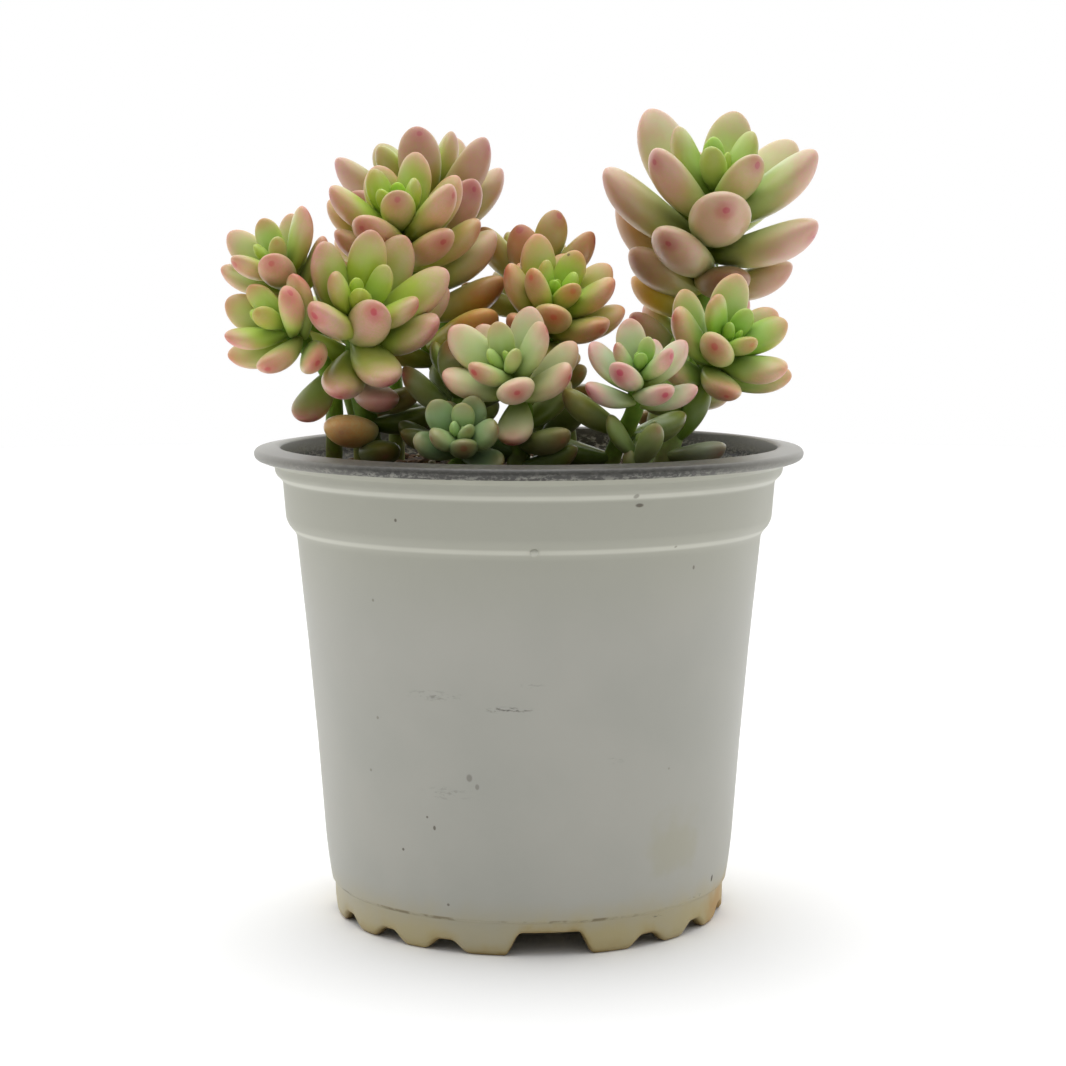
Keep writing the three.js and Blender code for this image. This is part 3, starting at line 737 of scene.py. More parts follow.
# %% The leafy stems
HEAD = dict(open=(22, 74), pace=0.7, depth=0.66, young=0.45, hand=1, lower=[])
STEMS = [
    dict(name="right_tall", root=(25, 8), tip=(38, 26, 142), bearing=280, tilt=25, radius=2.5,
         leaves=16, length=28, plump=0.43, first=335, young=0.6,
         lower=[(0.6, 215, 5, 20), (0.66, 280, -10, 20), (0.6, 350, -10, 20), (0.62, 175, 35, 25),
                (0.5, 195, 35, 16)]),
    dict(name="left_tall", root=(-13, 7), tip=(-25, 0, 135), bearing=255, tilt=25, radius=2.5,
         leaves=18, length=18, plump=0.46, first=310,
         lower=[(0.62, 25, 35, 21), (0.52, 350, 8, 19), (0.4, 325, 12, 20), (0.34, 200, 10, 14),
                (0.14, 195, 5, 15)]),
    dict(name="left_front", root=(-30, -3), tip=(-31, -18, 117), bearing=280, tilt=50, radius=2.25,
         leaves=18, length=21, plump=0.39, first=0,
         lower=[(0.5, 305, -15, 15), (0.22, 255, -5, 18), (0.12, 290, 0, 15), (0.34, 330, 5, 13),
                (0.24, 350, 0, 14)]),
    dict(name="left_back", root=(-33, 10), tip=(-47, -14, 126), bearing=235, tilt=40, radius=1.75,
         leaves=12, length=14, plump=0.46, first=30, lower=[(0.55, 185, -20, 14)]),
    dict(name="left_low", root=(-38, 3), tip=(-46, -22, 115), bearing=225, tilt=55, radius=1.75,
         leaves=12, length=14, plump=0.47, first=0, lower=[(0.5, 265, -55, 13)]),
    dict(name="centre", root=(3, 0), tip=(5, -2, 119), bearing=290, tilt=35, radius=2.25,
         leaves=18, length=16, plump=0.46, first=110,
         lower=[(0.5, 215, 0, 13), (0.42, 320, 5, 13), (0.25, 270, 25, 13), (0.3, 225, 15, 13),
                (0.14, 310, 30, 14)]),
    dict(name="front", root=(-2, -23), tip=(-4, -28, 107), bearing=250, tilt=45, radius=2.25,
         leaves=14, length=15, plump=0.46, first=30,
         lower=[(0.3, 335, 5, 14), (0.1, 340, 5, 12), (0.2, 205, 0, 12), (0.42, 30, 25, 13)]),
    dict(name="front_right", root=(15, -18), tip=(20, -28, 107), bearing=275, tilt=30, radius=1.75,
         leaves=13, length=12, plump=0.48, first=140,
         lower=[(0.4, 205, 5, 14), (0.3, 20, 10, 14), (0.15, 195, 10, 14)]),
    dict(name="right_low", root=(26, -8), tip=(38, -8, 111), bearing=300, tilt=50, radius=2.5,
         leaves=15, length=16, plump=0.46, first=0, hand=-1,
         lower=[(0.1, 320, 0, 13), (0.16, 20, 65, 14), (0.42, 235, -5, 12)]),
    dict(name="offset", root=(-15, -31), tip=(-12, -35, 95), bearing=270, tilt=55, radius=1.25,
         leaves=12, length=10, plump=0.55, first=30),
    dict(name="offset_right", root=(20, -30), tip=(20, -31, 93), bearing=300, tilt=10, radius=1.25,
         leaves=6, length=10, plump=0.5, first=250),
    dict(name="middle", root=(-13, -13), tip=(-13, -12, 105), bearing=90, tilt=10, radius=1.75,
         leaves=9, length=14, plump=0.48, first=80, hand=-1,
         lower=[(0.4, 200, 0, 12), (0.15, 330, 5, 12), (0.25, 170, 10, 13)]),
    dict(name="centre_back", root=(8, 19), tip=(1, 16, 126), bearing=100, tilt=20, radius=2,
         leaves=12, length=16, plump=0.46, first=100, lower=[(0.5, 250, 0, 14), (0.3, 270, 0, 14)]),
    dict(name="back", root=(-14, 22), tip=(-22, 18, 141), bearing=180, tilt=10, radius=2,
         leaves=16, length=21, plump=0.45, first=170, lower=[(0.45, 60, -10, 15), (0.35, 280, 0, 15)]),
    dict(name="back_left", root=(-27, 25), tip=(-36, 29, 118), bearing=140, tilt=45, radius=1.75,
         leaves=12, length=16, plump=0.46, first=10, hand=-1,
         lower=[(0.45, 180, -10, 13), (0.25, 240, 0, 13)]),
    dict(name="back_right", root=(25, 27), tip=(35, 38, 112), bearing=70, tilt=40, radius=2,
         leaves=12, length=16, plump=0.46, first=300,
         lower=[(0.45, 30, -10, 13), (0.25, 260, 0, 13)]),
]
STEMS = [{**HEAD, **row} for row in STEMS]
print("stems:", len(STEMS), "leaves:", sum(s["leaves"] + len(s["lower"]) for s in STEMS))

# %% [markdown]
# A stem's line is a cubic Bezier from the soil to the neck of the head, and then straight along the
# head's axis. Numpy's double numbers are used for the whole rule, because the crowding below goes
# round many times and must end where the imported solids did.

# %% Stem lines
NECK = 0.7
RISE_SHARE = 0.4
BEND_SHARE = 0.3
print("tips stand", min(s["tip"][2] for s in STEMS), "to", max(s["tip"][2] for s in STEMS), "mm high")


def unit(vector):
    return vector / np.linalg.norm(vector, axis=-1, keepdims=True)


def direction(bearing, lift):
    """The unit vector at a bearing and a lift above level, both in degrees."""
    turn, rise = math.radians(bearing), math.radians(lift)
    return np.array([math.cos(rise) * math.cos(turn), math.cos(rise) * math.sin(turn), math.sin(rise)])


def head_axis(stem):
    return direction(stem["bearing"], 90 - stem["tilt"])


def stem_point(stem, share):
    """The middle of the stem at a share of its line, from the soil at 0 to the tip at 1."""
    axis = head_axis(stem)
    leafy_length = stem["depth"] * stem["length"]
    neck = np.array(stem["tip"]) - axis * leafy_length
    if share > NECK:
        return neck + axis * leafy_length * (share - NECK) / (1 - NECK)
    root = np.array([*stem["root"], SOIL_TOP], float)
    reach = np.linalg.norm(root - neck)
    rise = root + [0, 0, RISE_SHARE * reach]
    bend = neck - axis * BEND_SHARE * reach
    t = share / NECK
    return ((1 - t) ** 3 * root + 3 * (1 - t) ** 2 * t * rise + 3 * (1 - t) * t * t * bend
            + t ** 3 * neck)


# %% [markdown]
# Each leaf is a place, two directions and two sizes: where it is rooted, the way it points, the way
# its upper face looks, its length and its width.

# %% Leaves by rule
GOLDEN_TURN = 137.508
BUD_SHARE = 0.24
BUD_FULLNESS = 1.15
GROWTH_EASE = 0.9
SPACING_EASE = 1.1
LOWER_LEAF_PLUMPNESS = 0.54
LEAF_SHOULDER = 0.64
LEAF_ROOT_WIDTH = 0.36
LEAF_TIP_FULLNESS = 2.3


def leaf_width(share):
    """The share of its full width that a leaf has along its length."""
    rise = np.sin(np.minimum(share, LEAF_SHOULDER) / LEAF_SHOULDER * math.pi / 2)
    past = np.maximum(0, (share - LEAF_SHOULDER) / (1 - LEAF_SHOULDER))
    tip = np.sqrt(np.maximum(0, 1 - past ** LEAF_TIP_FULLNESS))
    return np.where(share < LEAF_SHOULDER, LEAF_ROOT_WIDTH + (1 - LEAF_ROOT_WIDTH) * rise, tip)


def head_leaves(stem):
    axis = head_axis(stem)
    right = unit(np.cross([0, 1, 0], axis))
    over = np.cross(axis, right)
    for i in range(stem["leaves"]):
        age = i / (stem["leaves"] - 1)
        turn = math.radians(stem["first"] + stem["hand"] * GOLDEN_TURN * i)
        out = right * math.cos(turn) + over * math.sin(turn)
        closed, opened = stem["open"]
        opening = math.radians(closed + (opened - closed) * age ** stem["pace"])
        grown = min(1, age / stem["young"]) ** GROWTH_EASE
        length = stem["length"] * (BUD_SHARE + (1 - BUD_SHARE) * grown)
        fullness = BUD_FULLNESS - (BUD_FULLNESS - 1) * age
        below = stem["depth"] * stem["length"] * age ** SPACING_EASE
        yield dict(base=np.array(stem["tip"]) - axis * below,
                   ahead=axis * math.cos(opening) + out * math.sin(opening),
                   up=axis * math.sin(opening) - out * math.cos(opening),
                   length=length, width=length * stem["plump"] * fullness, age=age, lower=None)


def lower_leaves(stem):
    for k, (share, bearing, lift, length) in enumerate(stem["lower"]):
        yield dict(base=stem_point(stem, share), ahead=direction(bearing, lift),
                   up=direction(bearing, lift + 90), length=length,
                   width=length * LOWER_LEAF_PLUMPNESS, age=1.0, lower=k)


leaves = []
for number, stem in enumerate(STEMS):
    for leaf in [*head_leaves(stem), *lower_leaves(stem)]:
        leaves.append({**leaf, "stem": number})
print("leaves before crowding:", len(leaves))

# %% [markdown]
# Crowded leaves make room for each other as they grow. Comparing their real surfaces would be slow,
# so four probe spheres stand for each leaf and ten for each stem, along their middles. Two helpers
# place the spheres and measure how deep they are in each other.

# %% Probes
CURL = 0.16
PROBES = np.array([0.18, 0.42, 0.66, 0.88])
PROBE_SHARE = 0.46
CLEARANCE = 0.6
GROUND_CLEARANCE = 0.8
PACKING = 1.5
STEM_PROBES = 10
STEM_PROBE_RADIUS = 2.3
ROUNDS = 26
SHRINK_FROM = 12
LIP_REACH = 43
STIFFNESS = 1.4
SAME_HEAD_PUSH = 0.35
OTHER_HEAD_PUSH = 0.5
NEAR_SHARE, NEAR_MARGIN = 0.75, 4
CROWDED_FROM, CROWDED_LENGTH, CROWDED_WIDTH = 0.15, 0.965, 0.975
PRESSED_FROM, PRESSED_WIDTH = 0.8, 0.985


def leaf_line(base, ahead, up, length, shares):
    """Points along the middle of every leaf, at the same shares of its length."""
    along = length[:, None] * shares
    lift = length[:, None] * CURL * shares ** 2
    return base[:, None] + ahead[:, None] * along[..., None] + up[:, None] * lift[..., None]


def overlaps(first, first_radius, second, second_radius, room):
    """For every two probes, the way from second to first and by how much they overlap."""
    away = first[:, :, None] - second[:, None]
    distance = np.linalg.norm(away, axis=-1) + 1e-9
    overlap = first_radius[:, :, None] + second_radius[:, None] + room - distance
    return away / distance[..., None], overlap


# %% [markdown]
# Where spheres of two heads overlap, the leaves lean apart, round after round, and in the later
# rounds those that are still crowded get smaller. All pairs are handled at once with arrays, which
# takes a second where a plain loop would take far longer.

# %% Crowding


def ease_crowding(leaves):
    base, ahead, up = (np.array([leaf[key] for leaf in leaves]) for key in ("base", "ahead", "up"))
    length, width = (np.array([leaf[key] for leaf in leaves], float) for key in ("length", "width"))
    owner = np.array([leaf["stem"] for leaf in leaves])
    middle = leaf_line(base, ahead, up, length, np.array([0.5]))[:, 0]
    a, b = np.triu_indices(len(leaves), 1)
    reach = (length[a] + length[b]) * NEAR_SHARE + NEAR_MARGIN
    near = np.linalg.norm(middle[a] - middle[b], axis=1) < reach
    a, b = a[near], b[near]
    same = owner[a] == owner[b]
    room = np.where(same, -PACKING, CLEARANCE)[:, None, None]
    share = np.where(same, SAME_HEAD_PUSH, OTHER_HEAD_PUSH)[:, None, None]
    counted = np.ones((len(a), len(PROBES), len(PROBES)), bool)
    counted[same, 0, :] = counted[same, :, 0] = False
    stem_probes = np.array([[stem_point(stem, (i + 1) / STEM_PROBES) for i in range(STEM_PROBES)]
                            for stem in STEMS]).reshape(1, -1, 3)
    probe_owner = np.repeat(np.arange(len(STEMS)), STEM_PROBES)
    foreign = (owner[:, None] != probe_owner)[:, None, :]
    stem_radii = np.full((1, stem_probes.shape[1]), STEM_PROBE_RADIUS)
    for turn in range(ROUNDS):
        centres = leaf_line(base, ahead, up, length, PROBES)
        radii = leaf_width(PROBES) * width[:, None] * PROBE_SHARE
        push = np.zeros_like(base)
        crowded, pressed = np.zeros(len(leaves)), np.zeros(len(leaves))
        way, overlap = overlaps(centres[a], radii[a], centres[b], radii[b], room)
        overlap = np.where(counted, np.maximum(overlap, 0), 0)
        pair_push = (way * (share * overlap)[..., None]).sum(axis=(1, 2))
        np.add.at(push, a, pair_push)
        np.add.at(push, b, -pair_push)
        worst = overlap.max(axis=(1, 2))
        for side in (a, b):
            np.maximum.at(pressed, side, worst)
            np.maximum.at(crowded, side, np.where(same, 0, worst))
        way, overlap = overlaps(centres, radii, stem_probes, stem_radii, CLEARANCE)
        overlap = np.where(foreign, np.maximum(overlap, 0), 0)
        push += (way * overlap[..., None]).sum(axis=(1, 2))
        worst = overlap.max(axis=(1, 2))
        pressed, crowded = np.maximum(pressed, worst), np.maximum(crowded, worst)
        over_lip = np.hypot(centres[..., 0], centres[..., 1]) + radii > LIP_REACH
        ground = np.where(over_lip, POT_HEIGHT, SOIL_TOP) + GROUND_CLEARANCE
        sunk = np.maximum(0, ground + radii - centres[..., 2])
        push[:, 2] += sunk.sum(axis=1)
        crowded = np.maximum(crowded, sunk.max(axis=1))
        ahead = unit(ahead * (length * STIFFNESS)[:, None] + push)
        up = unit(up - ahead * (up * ahead).sum(axis=1, keepdims=True))
        if turn >= SHRINK_FROM:
            tight = crowded > CROWDED_FROM
            squeezed = ~tight & (pressed > PRESSED_FROM)
            length = np.where(tight, length * CROWDED_LENGTH, length)
            width = width * np.where(tight, CROWDED_WIDTH, np.where(squeezed, PRESSED_WIDTH, 1.0))
    for k, leaf in enumerate(leaves):
        leaf.update(ahead=ahead[k], up=up[k], length=length[k], width=width[k])
    print("crowding eased over", len(a), "pairs; shortest leaf", round(length.min(), 2), "mm")


ease_crowding(leaves)

# %% [markdown]
# One leaf is a turned outline, flattened afterwards: its upper face is the flatter one and its
# underside is keeled. The template has only a few dozen faces, because it is used some 260 times,
# and two levels of subdivision make it smooth. Subdivision pulls a ring of few sides inwards, so
# the template is swollen to match. The rings stand closer towards the tip, which turns quickly, and
# the last point is drawn out a little, for the blunt point that these leaves end in.

# %% The leaf template
LEAF_SIDES = 8
LEAF_RINGS = (0, 0.15, 0.36, 0.57, 0.76, 0.9, 0.975)
LEAF_TIP_DRAWN = 0.025
SWELL = 3 / (2 + math.cos(math.tau / LEAF_SIDES))


def make_leaf_template():
    outline = [(0, 0)] + [(float(leaf_width(np.array(s))), s) for s in LEAF_RINGS] + [(0, 1)]
    bm = turned(outline, LEAF_SIDES)
    mesh = bpy.data.meshes.new("leaf_template")
    bm.to_mesh(mesh)
    bm.free()
    points = np.array([vert.co for vert in mesh.vertices])
    print("leaf template:", len(points), "points,", len(mesh.polygons), "faces")
    return mesh, points


leaf_template, LEAF_POINTS = make_leaf_template()

# %% [markdown]
# Every leaf then takes the template's points to its own place. A small draw per leaf bends it
# sideways and twists it, because no two real leaves are the same. Next to its place, each point
# keeps some attributes that the leaf's skin reads: how far along the leaf it is, how far under, the
# place of the leaf's red spot, and the leaf's own colours.

# %% Placing a leaf
THICKNESS = 0.66
UPPER_SHARE = 0.4
SPOT_SHARE = 0.965
SPOT_DEPTH = 0.25
SIDE_BEND = 0.035
TWIST = 0.16
AT_TIP = 0.9999


def leaf_places(leaf, draw):
    """The points of one leaf in mm, how far along and under they are, and the red spot's place."""
    across, height, share = LEAF_POINTS.T
    under = 0.5 - 0.5 * height / np.maximum(np.hypot(across, height), 1e-9)
    twist = draw.uniform(-TWIST, TWIST) * share
    across, height = (across * np.cos(twist) - height * np.sin(twist),
                      across * np.sin(twist) + height * np.cos(twist))
    side = np.cross(leaf["ahead"], leaf["up"])
    thickness = leaf["width"] * THICKNESS
    half = np.where(height > 0, UPPER_SHARE, 1 - UPPER_SHARE) * thickness * SWELL
    bend = draw.uniform(-SIDE_BEND, SIDE_BEND) * leaf["length"] * share ** 2
    drawn = LEAF_TIP_DRAWN * leaf["length"] * (share > AT_TIP)
    points = (leaf["base"]
              + np.outer(leaf["length"] * share + drawn, leaf["ahead"])
              + np.outer(leaf["length"] * CURL * share ** 2 + height * half, leaf["up"])
              + np.outer(across * SWELL * leaf["width"] / 2 + bend, side))
    spot = (leaf["base"] + leaf["ahead"] * leaf["length"] * SPOT_SHARE
            + leaf["up"] * (leaf["length"] * CURL * SPOT_SHARE ** 2 - thickness * SPOT_DEPTH))
    return points, share, under, spot


# %% [markdown]
# Strong light turns these leaves from yellow-green to dusty pink, from the tip down. How much
# differs from head to head: those that stand free are pink over half of each leaf, and those in the
# shade stay green with red tips. So each head has its own four colours: a young leaf, a full-grown
# leaf, its blush and its red spot. The old leaves on the bare stems have turned yellow, orange or
# dark green, and each of them has a flesh and a blush of its own.

# %% Colours of each head
SKINS = {
    "right_tall": dict(tender="#b4d05c", grown="#c6d08e", blush="#d6a494", spot="#b8405a", reach=0.95,
                       lower=[("#bbb872", "#c48e78"), ("#a89c60", "#a46c5c"), ("#bbb676", "#c68e7a"),
                              ("#c2a468", "#c48c66"), ("#e0c850", "#d89848")]),
    "left_tall": dict(tender="#b2d244", grown="#bec85e", blush="#d8a488", spot="#bb4a50", reach=0.95,
                      lower=[("#bcc476", "#d8a48e"), ("#b4ae5c", "#ba7a44"), ("#d4d038", "#e4944e"),
                             ("#98a044", "#aa7a44"), ("#6c8230", "#787c38")]),
    # left_front's second old leaf is near white and bright orange, lighter than its own colour: painted
    # light on a leaf that hangs in shade.
    "left_front": dict(tender="#b6d048", grown="#b6c452", blush="#dca69a", spot="#c22c48", reach=1.0,
                       lower=[("#d2ae98", "#d08880"), ("#fff6b4", "#ffbc64"), ("#70842e", "#7a8038"),
                              ("#8a9644", "#968048"), ("#72882e", "#7e8238")]),
    "left_back": dict(tender="#b2d05a", grown="#bccb74", blush="#deac94", spot="#c4524c", reach=0.9,
                      lower=[("#b4b474", "#c89a7c")]),
    "left_low": dict(tender="#bcd45a", grown="#bece70", blush="#dc9e88", spot="#c43a46", reach=0.9,
                     lower=[("#94a45c", "#b0605a")]),
    "centre": dict(tender="#a6cc34", grown="#bcc45e", blush="#dea482", spot="#d45a40", reach=0.9,
                   lower=[("#8a9c40", "#988440"), ("#7c9038", "#868038"), ("#6c8434", "#767e38"),
                          ("#627a2e", "#687434"), ("#64802e", "#6e7838")]),
    "front": dict(tender="#b0cc70", grown="#cedaa4", blush="#e6b8a2", spot="#c83c4a", reach=0.85,
                  lower=[("#7c9040", "#868648"), ("#627c2e", "#6a7a32"), ("#6a8850", "#748e58"),
                         ("#8a9c4c", "#9c8c52")]),
    "front_right": dict(tender="#9cc462", grown="#d0deb6", blush="#e6b6ac", spot="#c23456", reach=0.85,
                        lower=[("#84983e", "#949048"), ("#748c40", "#808a44"), ("#6c8434", "#747c38")]),
    "right_low": dict(tender="#a0ca48", grown="#b4cd6c", blush="#e2b090", spot="#cf504e", reach=0.85,
                      lower=[("#96a284", "#9aa48c"), ("#7c9c40", "#848f40"), ("#849a42", "#8c964a")]),
    "offset": dict(tender="#a4c080", grown="#82a06c", blush="#929c68", spot="#96603c", reach=0.3,
                   lower=[]),
    "offset_right": dict(tender="#8aa44c", grown="#7c9444", blush="#8a944e", spot="#8a6a3c", reach=0.2,
                         lower=[]),
    # The middle head fills a dark gap where the heads shade each other: its dark greens are painted
    # shade.
    "middle": dict(tender="#94b048", grown="#7c9044", blush="#9a845a", spot="#b8504a", reach=0.4,
                   lower=[("#6a8038", "#727e3e"), ("#647838", "#6a7438"), ("#647a34", "#6c763a")]),
    "centre_back": dict(tender="#a8ca4c", grown="#b6b85e", blush="#c68c64", spot="#b04a44", reach=0.95,
                        lower=[("#a6a450", "#b88452"), ("#989c4c", "#a87e4c")]),
    "back": dict(tender="#b2ca58", grown="#bab870", blush="#c89084", spot="#b03c50", reach=1.0,
                 lower=[("#98a054", "#b07e56"), ("#8c964c", "#9c784c")]),
    "back_left": dict(tender="#b0cc5a", grown="#bcc680", blush="#d49e8c", spot="#b83c4a", reach=0.9,
                      lower=[("#a0a864", "#c08e72"), ("#90a058", "#a88860")]),
    "back_right": dict(tender="#a8c856", grown="#b8c87a", blush="#d69a8c", spot="#b43c4c", reach=0.9,
                       lower=[("#96a258", "#b08058"), ("#889850", "#a28050")]),
}
print("skins:", len(SKINS), "heads,", sum(len(skin["lower"]) for skin in SKINS.values()), "old leaves")

# %% [markdown]
# Within a head, a leaf's colour goes with its age: it ripens from the young colour to the full-grown
# one, blushes, and gets its spot first of all. A small draw keeps two neighbours from being alike.
# Some heads also have a red streak along the keel of their leaves.

# %% Colours of each leaf
STREAKED = {"front": 0.8, "front_right": 0.8, "left_front": 0.5}
LITTLE_STREAKED = 0.15
LOWER_BLUSH = 0.9
LOWER_SPOT = 0.4
COLOUR_DRAW = 0.06
REACH_DRAW = (0.8, 1.2)
# How fast a leaf ripens, blushes and gets its spot as it ages: age times one number, less another.
RIPENS, BLUSHES, SPOTS = (1.7, 0.15), (2.6, 0.1), (5, 0.5)


def aged(leaf, pace):
    """How far a leaf has gone through a change, from 0 to 1."""
    return smooth(leaf["age"] * pace[0] - pace[1])


def leaf_colours(stem, leaf, draw):
    """The colours of one leaf, and how strong its blush, its red spot and its streak are."""
    skin = SKINS[stem["name"]]
    streak = STREAKED.get(stem["name"], LITTLE_STREAKED) * draw.random()
    spot = np.array(linear(skin["spot"]))
    if leaf["lower"] is not None:
        flesh, blush = (np.array(linear(c)) for c in skin["lower"][leaf["lower"]])
        return dict(flesh=flesh, blush=blush, spot=spot, blushing=LOWER_BLUSH, spotted=LOWER_SPOT,
                    streaked=0)
    ripe = aged(leaf, RIPENS)
    tender, grown = np.array(linear(skin["tender"])), np.array(linear(skin["grown"]))
    flesh = tender + (grown - tender) * ripe
    flesh = flesh * np.array([*(1 + draw.uniform(-COLOUR_DRAW, COLOUR_DRAW) for _ in range(3)), 1])
    blushing = min(1, aged(leaf, BLUSHES) * skin["reach"] * draw.uniform(*REACH_DRAW))
    return dict(flesh=flesh, blush=np.array(linear(skin["blush"])), spot=spot, blushing=blushing,
                spotted=aged(leaf, SPOTS), streaked=streak * ripe)


# %% [markdown]
# A bmesh can take in a whole mesh at once, so each leaf is the template, read in and then moved
# point by point. The attributes go in with it. Those that are the same all over a leaf are written
# to every point of it too, because a shader reads attributes by point.

# %% Filling a leaf


def fill_leaf(bm, layers, stem, leaf, draw):
    """Adds one leaf to a stem's bmesh, with its attributes."""
    start = len(bm.verts)
    bm.from_mesh(leaf_template)
    bm.verts.ensure_lookup_table()
    points, share, under, spot = leaf_places(leaf, draw)
    same = leaf_colours(stem, leaf, draw)
    same["spot_place"] = spot * MM
    for k, vert in enumerate(bm.verts[start:]):
        vert.co = points[k]
        vert[layers["leaf_share"]] = share[k]
        vert[layers["leaf_under"]] = under[k]
        for name, value in same.items():
            vert[layers[name]] = value


# %% [markdown]
# A stem is a turned tube bent along its line. Old leaves leave scars on it, low ovals a golden turn
# apart, which show on the bare part as small bumps. It tapers into the head.

# %% The stem's tube
STEM_SIDES = 10
STEM_RINGS = 32
ROOT_DEPTH = 12
STEM_TAPER_FROM = 0.8
STEM_TIP_SHARE = 0.6
LENGTH_STEPS = 20
LOOK_AHEAD = 0.02
SCAR_SPACING = 2.1
SCAR_HEIGHT = 0.35
SCAR_HALF_TURN = 0.45
SCAR_HALF_LENGTH = 0.8
SCARS_END, SCARS_START = 6, 8
BARK = 1  # the bark's place among the plant's two finishes; the leaf skin is 0


def scar_height(along, turn):
    """How far the bark stands out at a place on the stem, in mm."""
    height = 0.0
    nearest = round(along / SCAR_SPACING)
    for k in range(nearest - 2, nearest + 3):
        turned_by = (turn - math.radians(GOLDEN_TURN) * k + math.pi) % math.tau - math.pi
        aside = (turned_by / SCAR_HALF_TURN) ** 2
        past = ((along - k * SCAR_SPACING) / SCAR_HALF_LENGTH) ** 2
        height = max(height, SCAR_HEIGHT * math.exp(-aside - past))
    return height


def fill_stem(bm, layers, stem):
    """Adds the bent tube of a stem, from under the soil to its growing point."""
    rings = [(1, k / STEM_RINGS) for k in range(STEM_RINGS + 1)]
    tube = turned([(0, 0)] + rings + [(0, 1)], STEM_SIDES)
    mesh = bpy.data.meshes.new("tube")
    tube.to_mesh(mesh)
    tube.free()
    bm.from_mesh(mesh)
    bpy.data.meshes.remove(mesh)
    steps = [stem_point(stem, k / LENGTH_STEPS) for k in range(LENGTH_STEPS + 1)]
    span = sum(np.linalg.norm(after - before) for before, after in zip(steps, steps[1:]))
    for vert in bm.verts:
        across, back, height = vert.co
        share = (height * (span + ROOT_DEPTH) - ROOT_DEPTH) / span
        centre = stem_point(stem, max(0, share)) + [0, 0, min(0, share) * span]
        ahead = np.array([0, 0, 1.0])
        if share > LOOK_AHEAD:
            after, before = min(1, share + LOOK_AHEAD), share - LOOK_AHEAD
            ahead = unit(stem_point(stem, after) - stem_point(stem, before))
        right = unit(np.cross([0, 1, 0], ahead))
        behind = np.cross(right, ahead)
        taper = max(0, share - STEM_TAPER_FROM) / (1 - STEM_TAPER_FROM)
        radius = stem["radius"] * (1 - (1 - STEM_TIP_SHARE) * taper)
        bare = smooth((NECK - share) * SCARS_END) * smooth(share * SCARS_START)
        radius += bare * scar_height(share * span, math.atan2(back, across))
        vert.co = centre + (right * across + behind * back) * radius
        vert[layers["leaf_share"]] = max(0, share)
    for face in bm.faces:
        face.material_index = BARK


# %% [markdown]
# The skin of these leaves is smooth and covered in a thin pale wax. Light goes a little way into the
# flesh and comes out again, which softens the shadows between the leaves. The colour is built up as
# on the plant: the flesh, deeper and more yellow at the root, and underneath yellower and darker,
# partly its own tint and partly painted shade, the blush from the tip down and much further along the
# underside, the red spot with its halo, a red streak along the keel of some leaves, and last the wax,
# worn off in places.

# %% Leaf skin
FLOATS = ("leaf_share", "leaf_under", "blushing", "spotted", "streaked")
COLOURS = ("flesh", "blush", "spot")
SPOT_CORE = 1.25
SPOT_HALO = 3.4
SPOT_RAGGED = 1.2
# Noises: the size of their patches in mm, and their detail.
MOTTLE, FRECKLES, WAX_PATCHES = (3.5, 3.0), (0.55, 2.0), (6, 4.0)
NICK_SPACING = 9


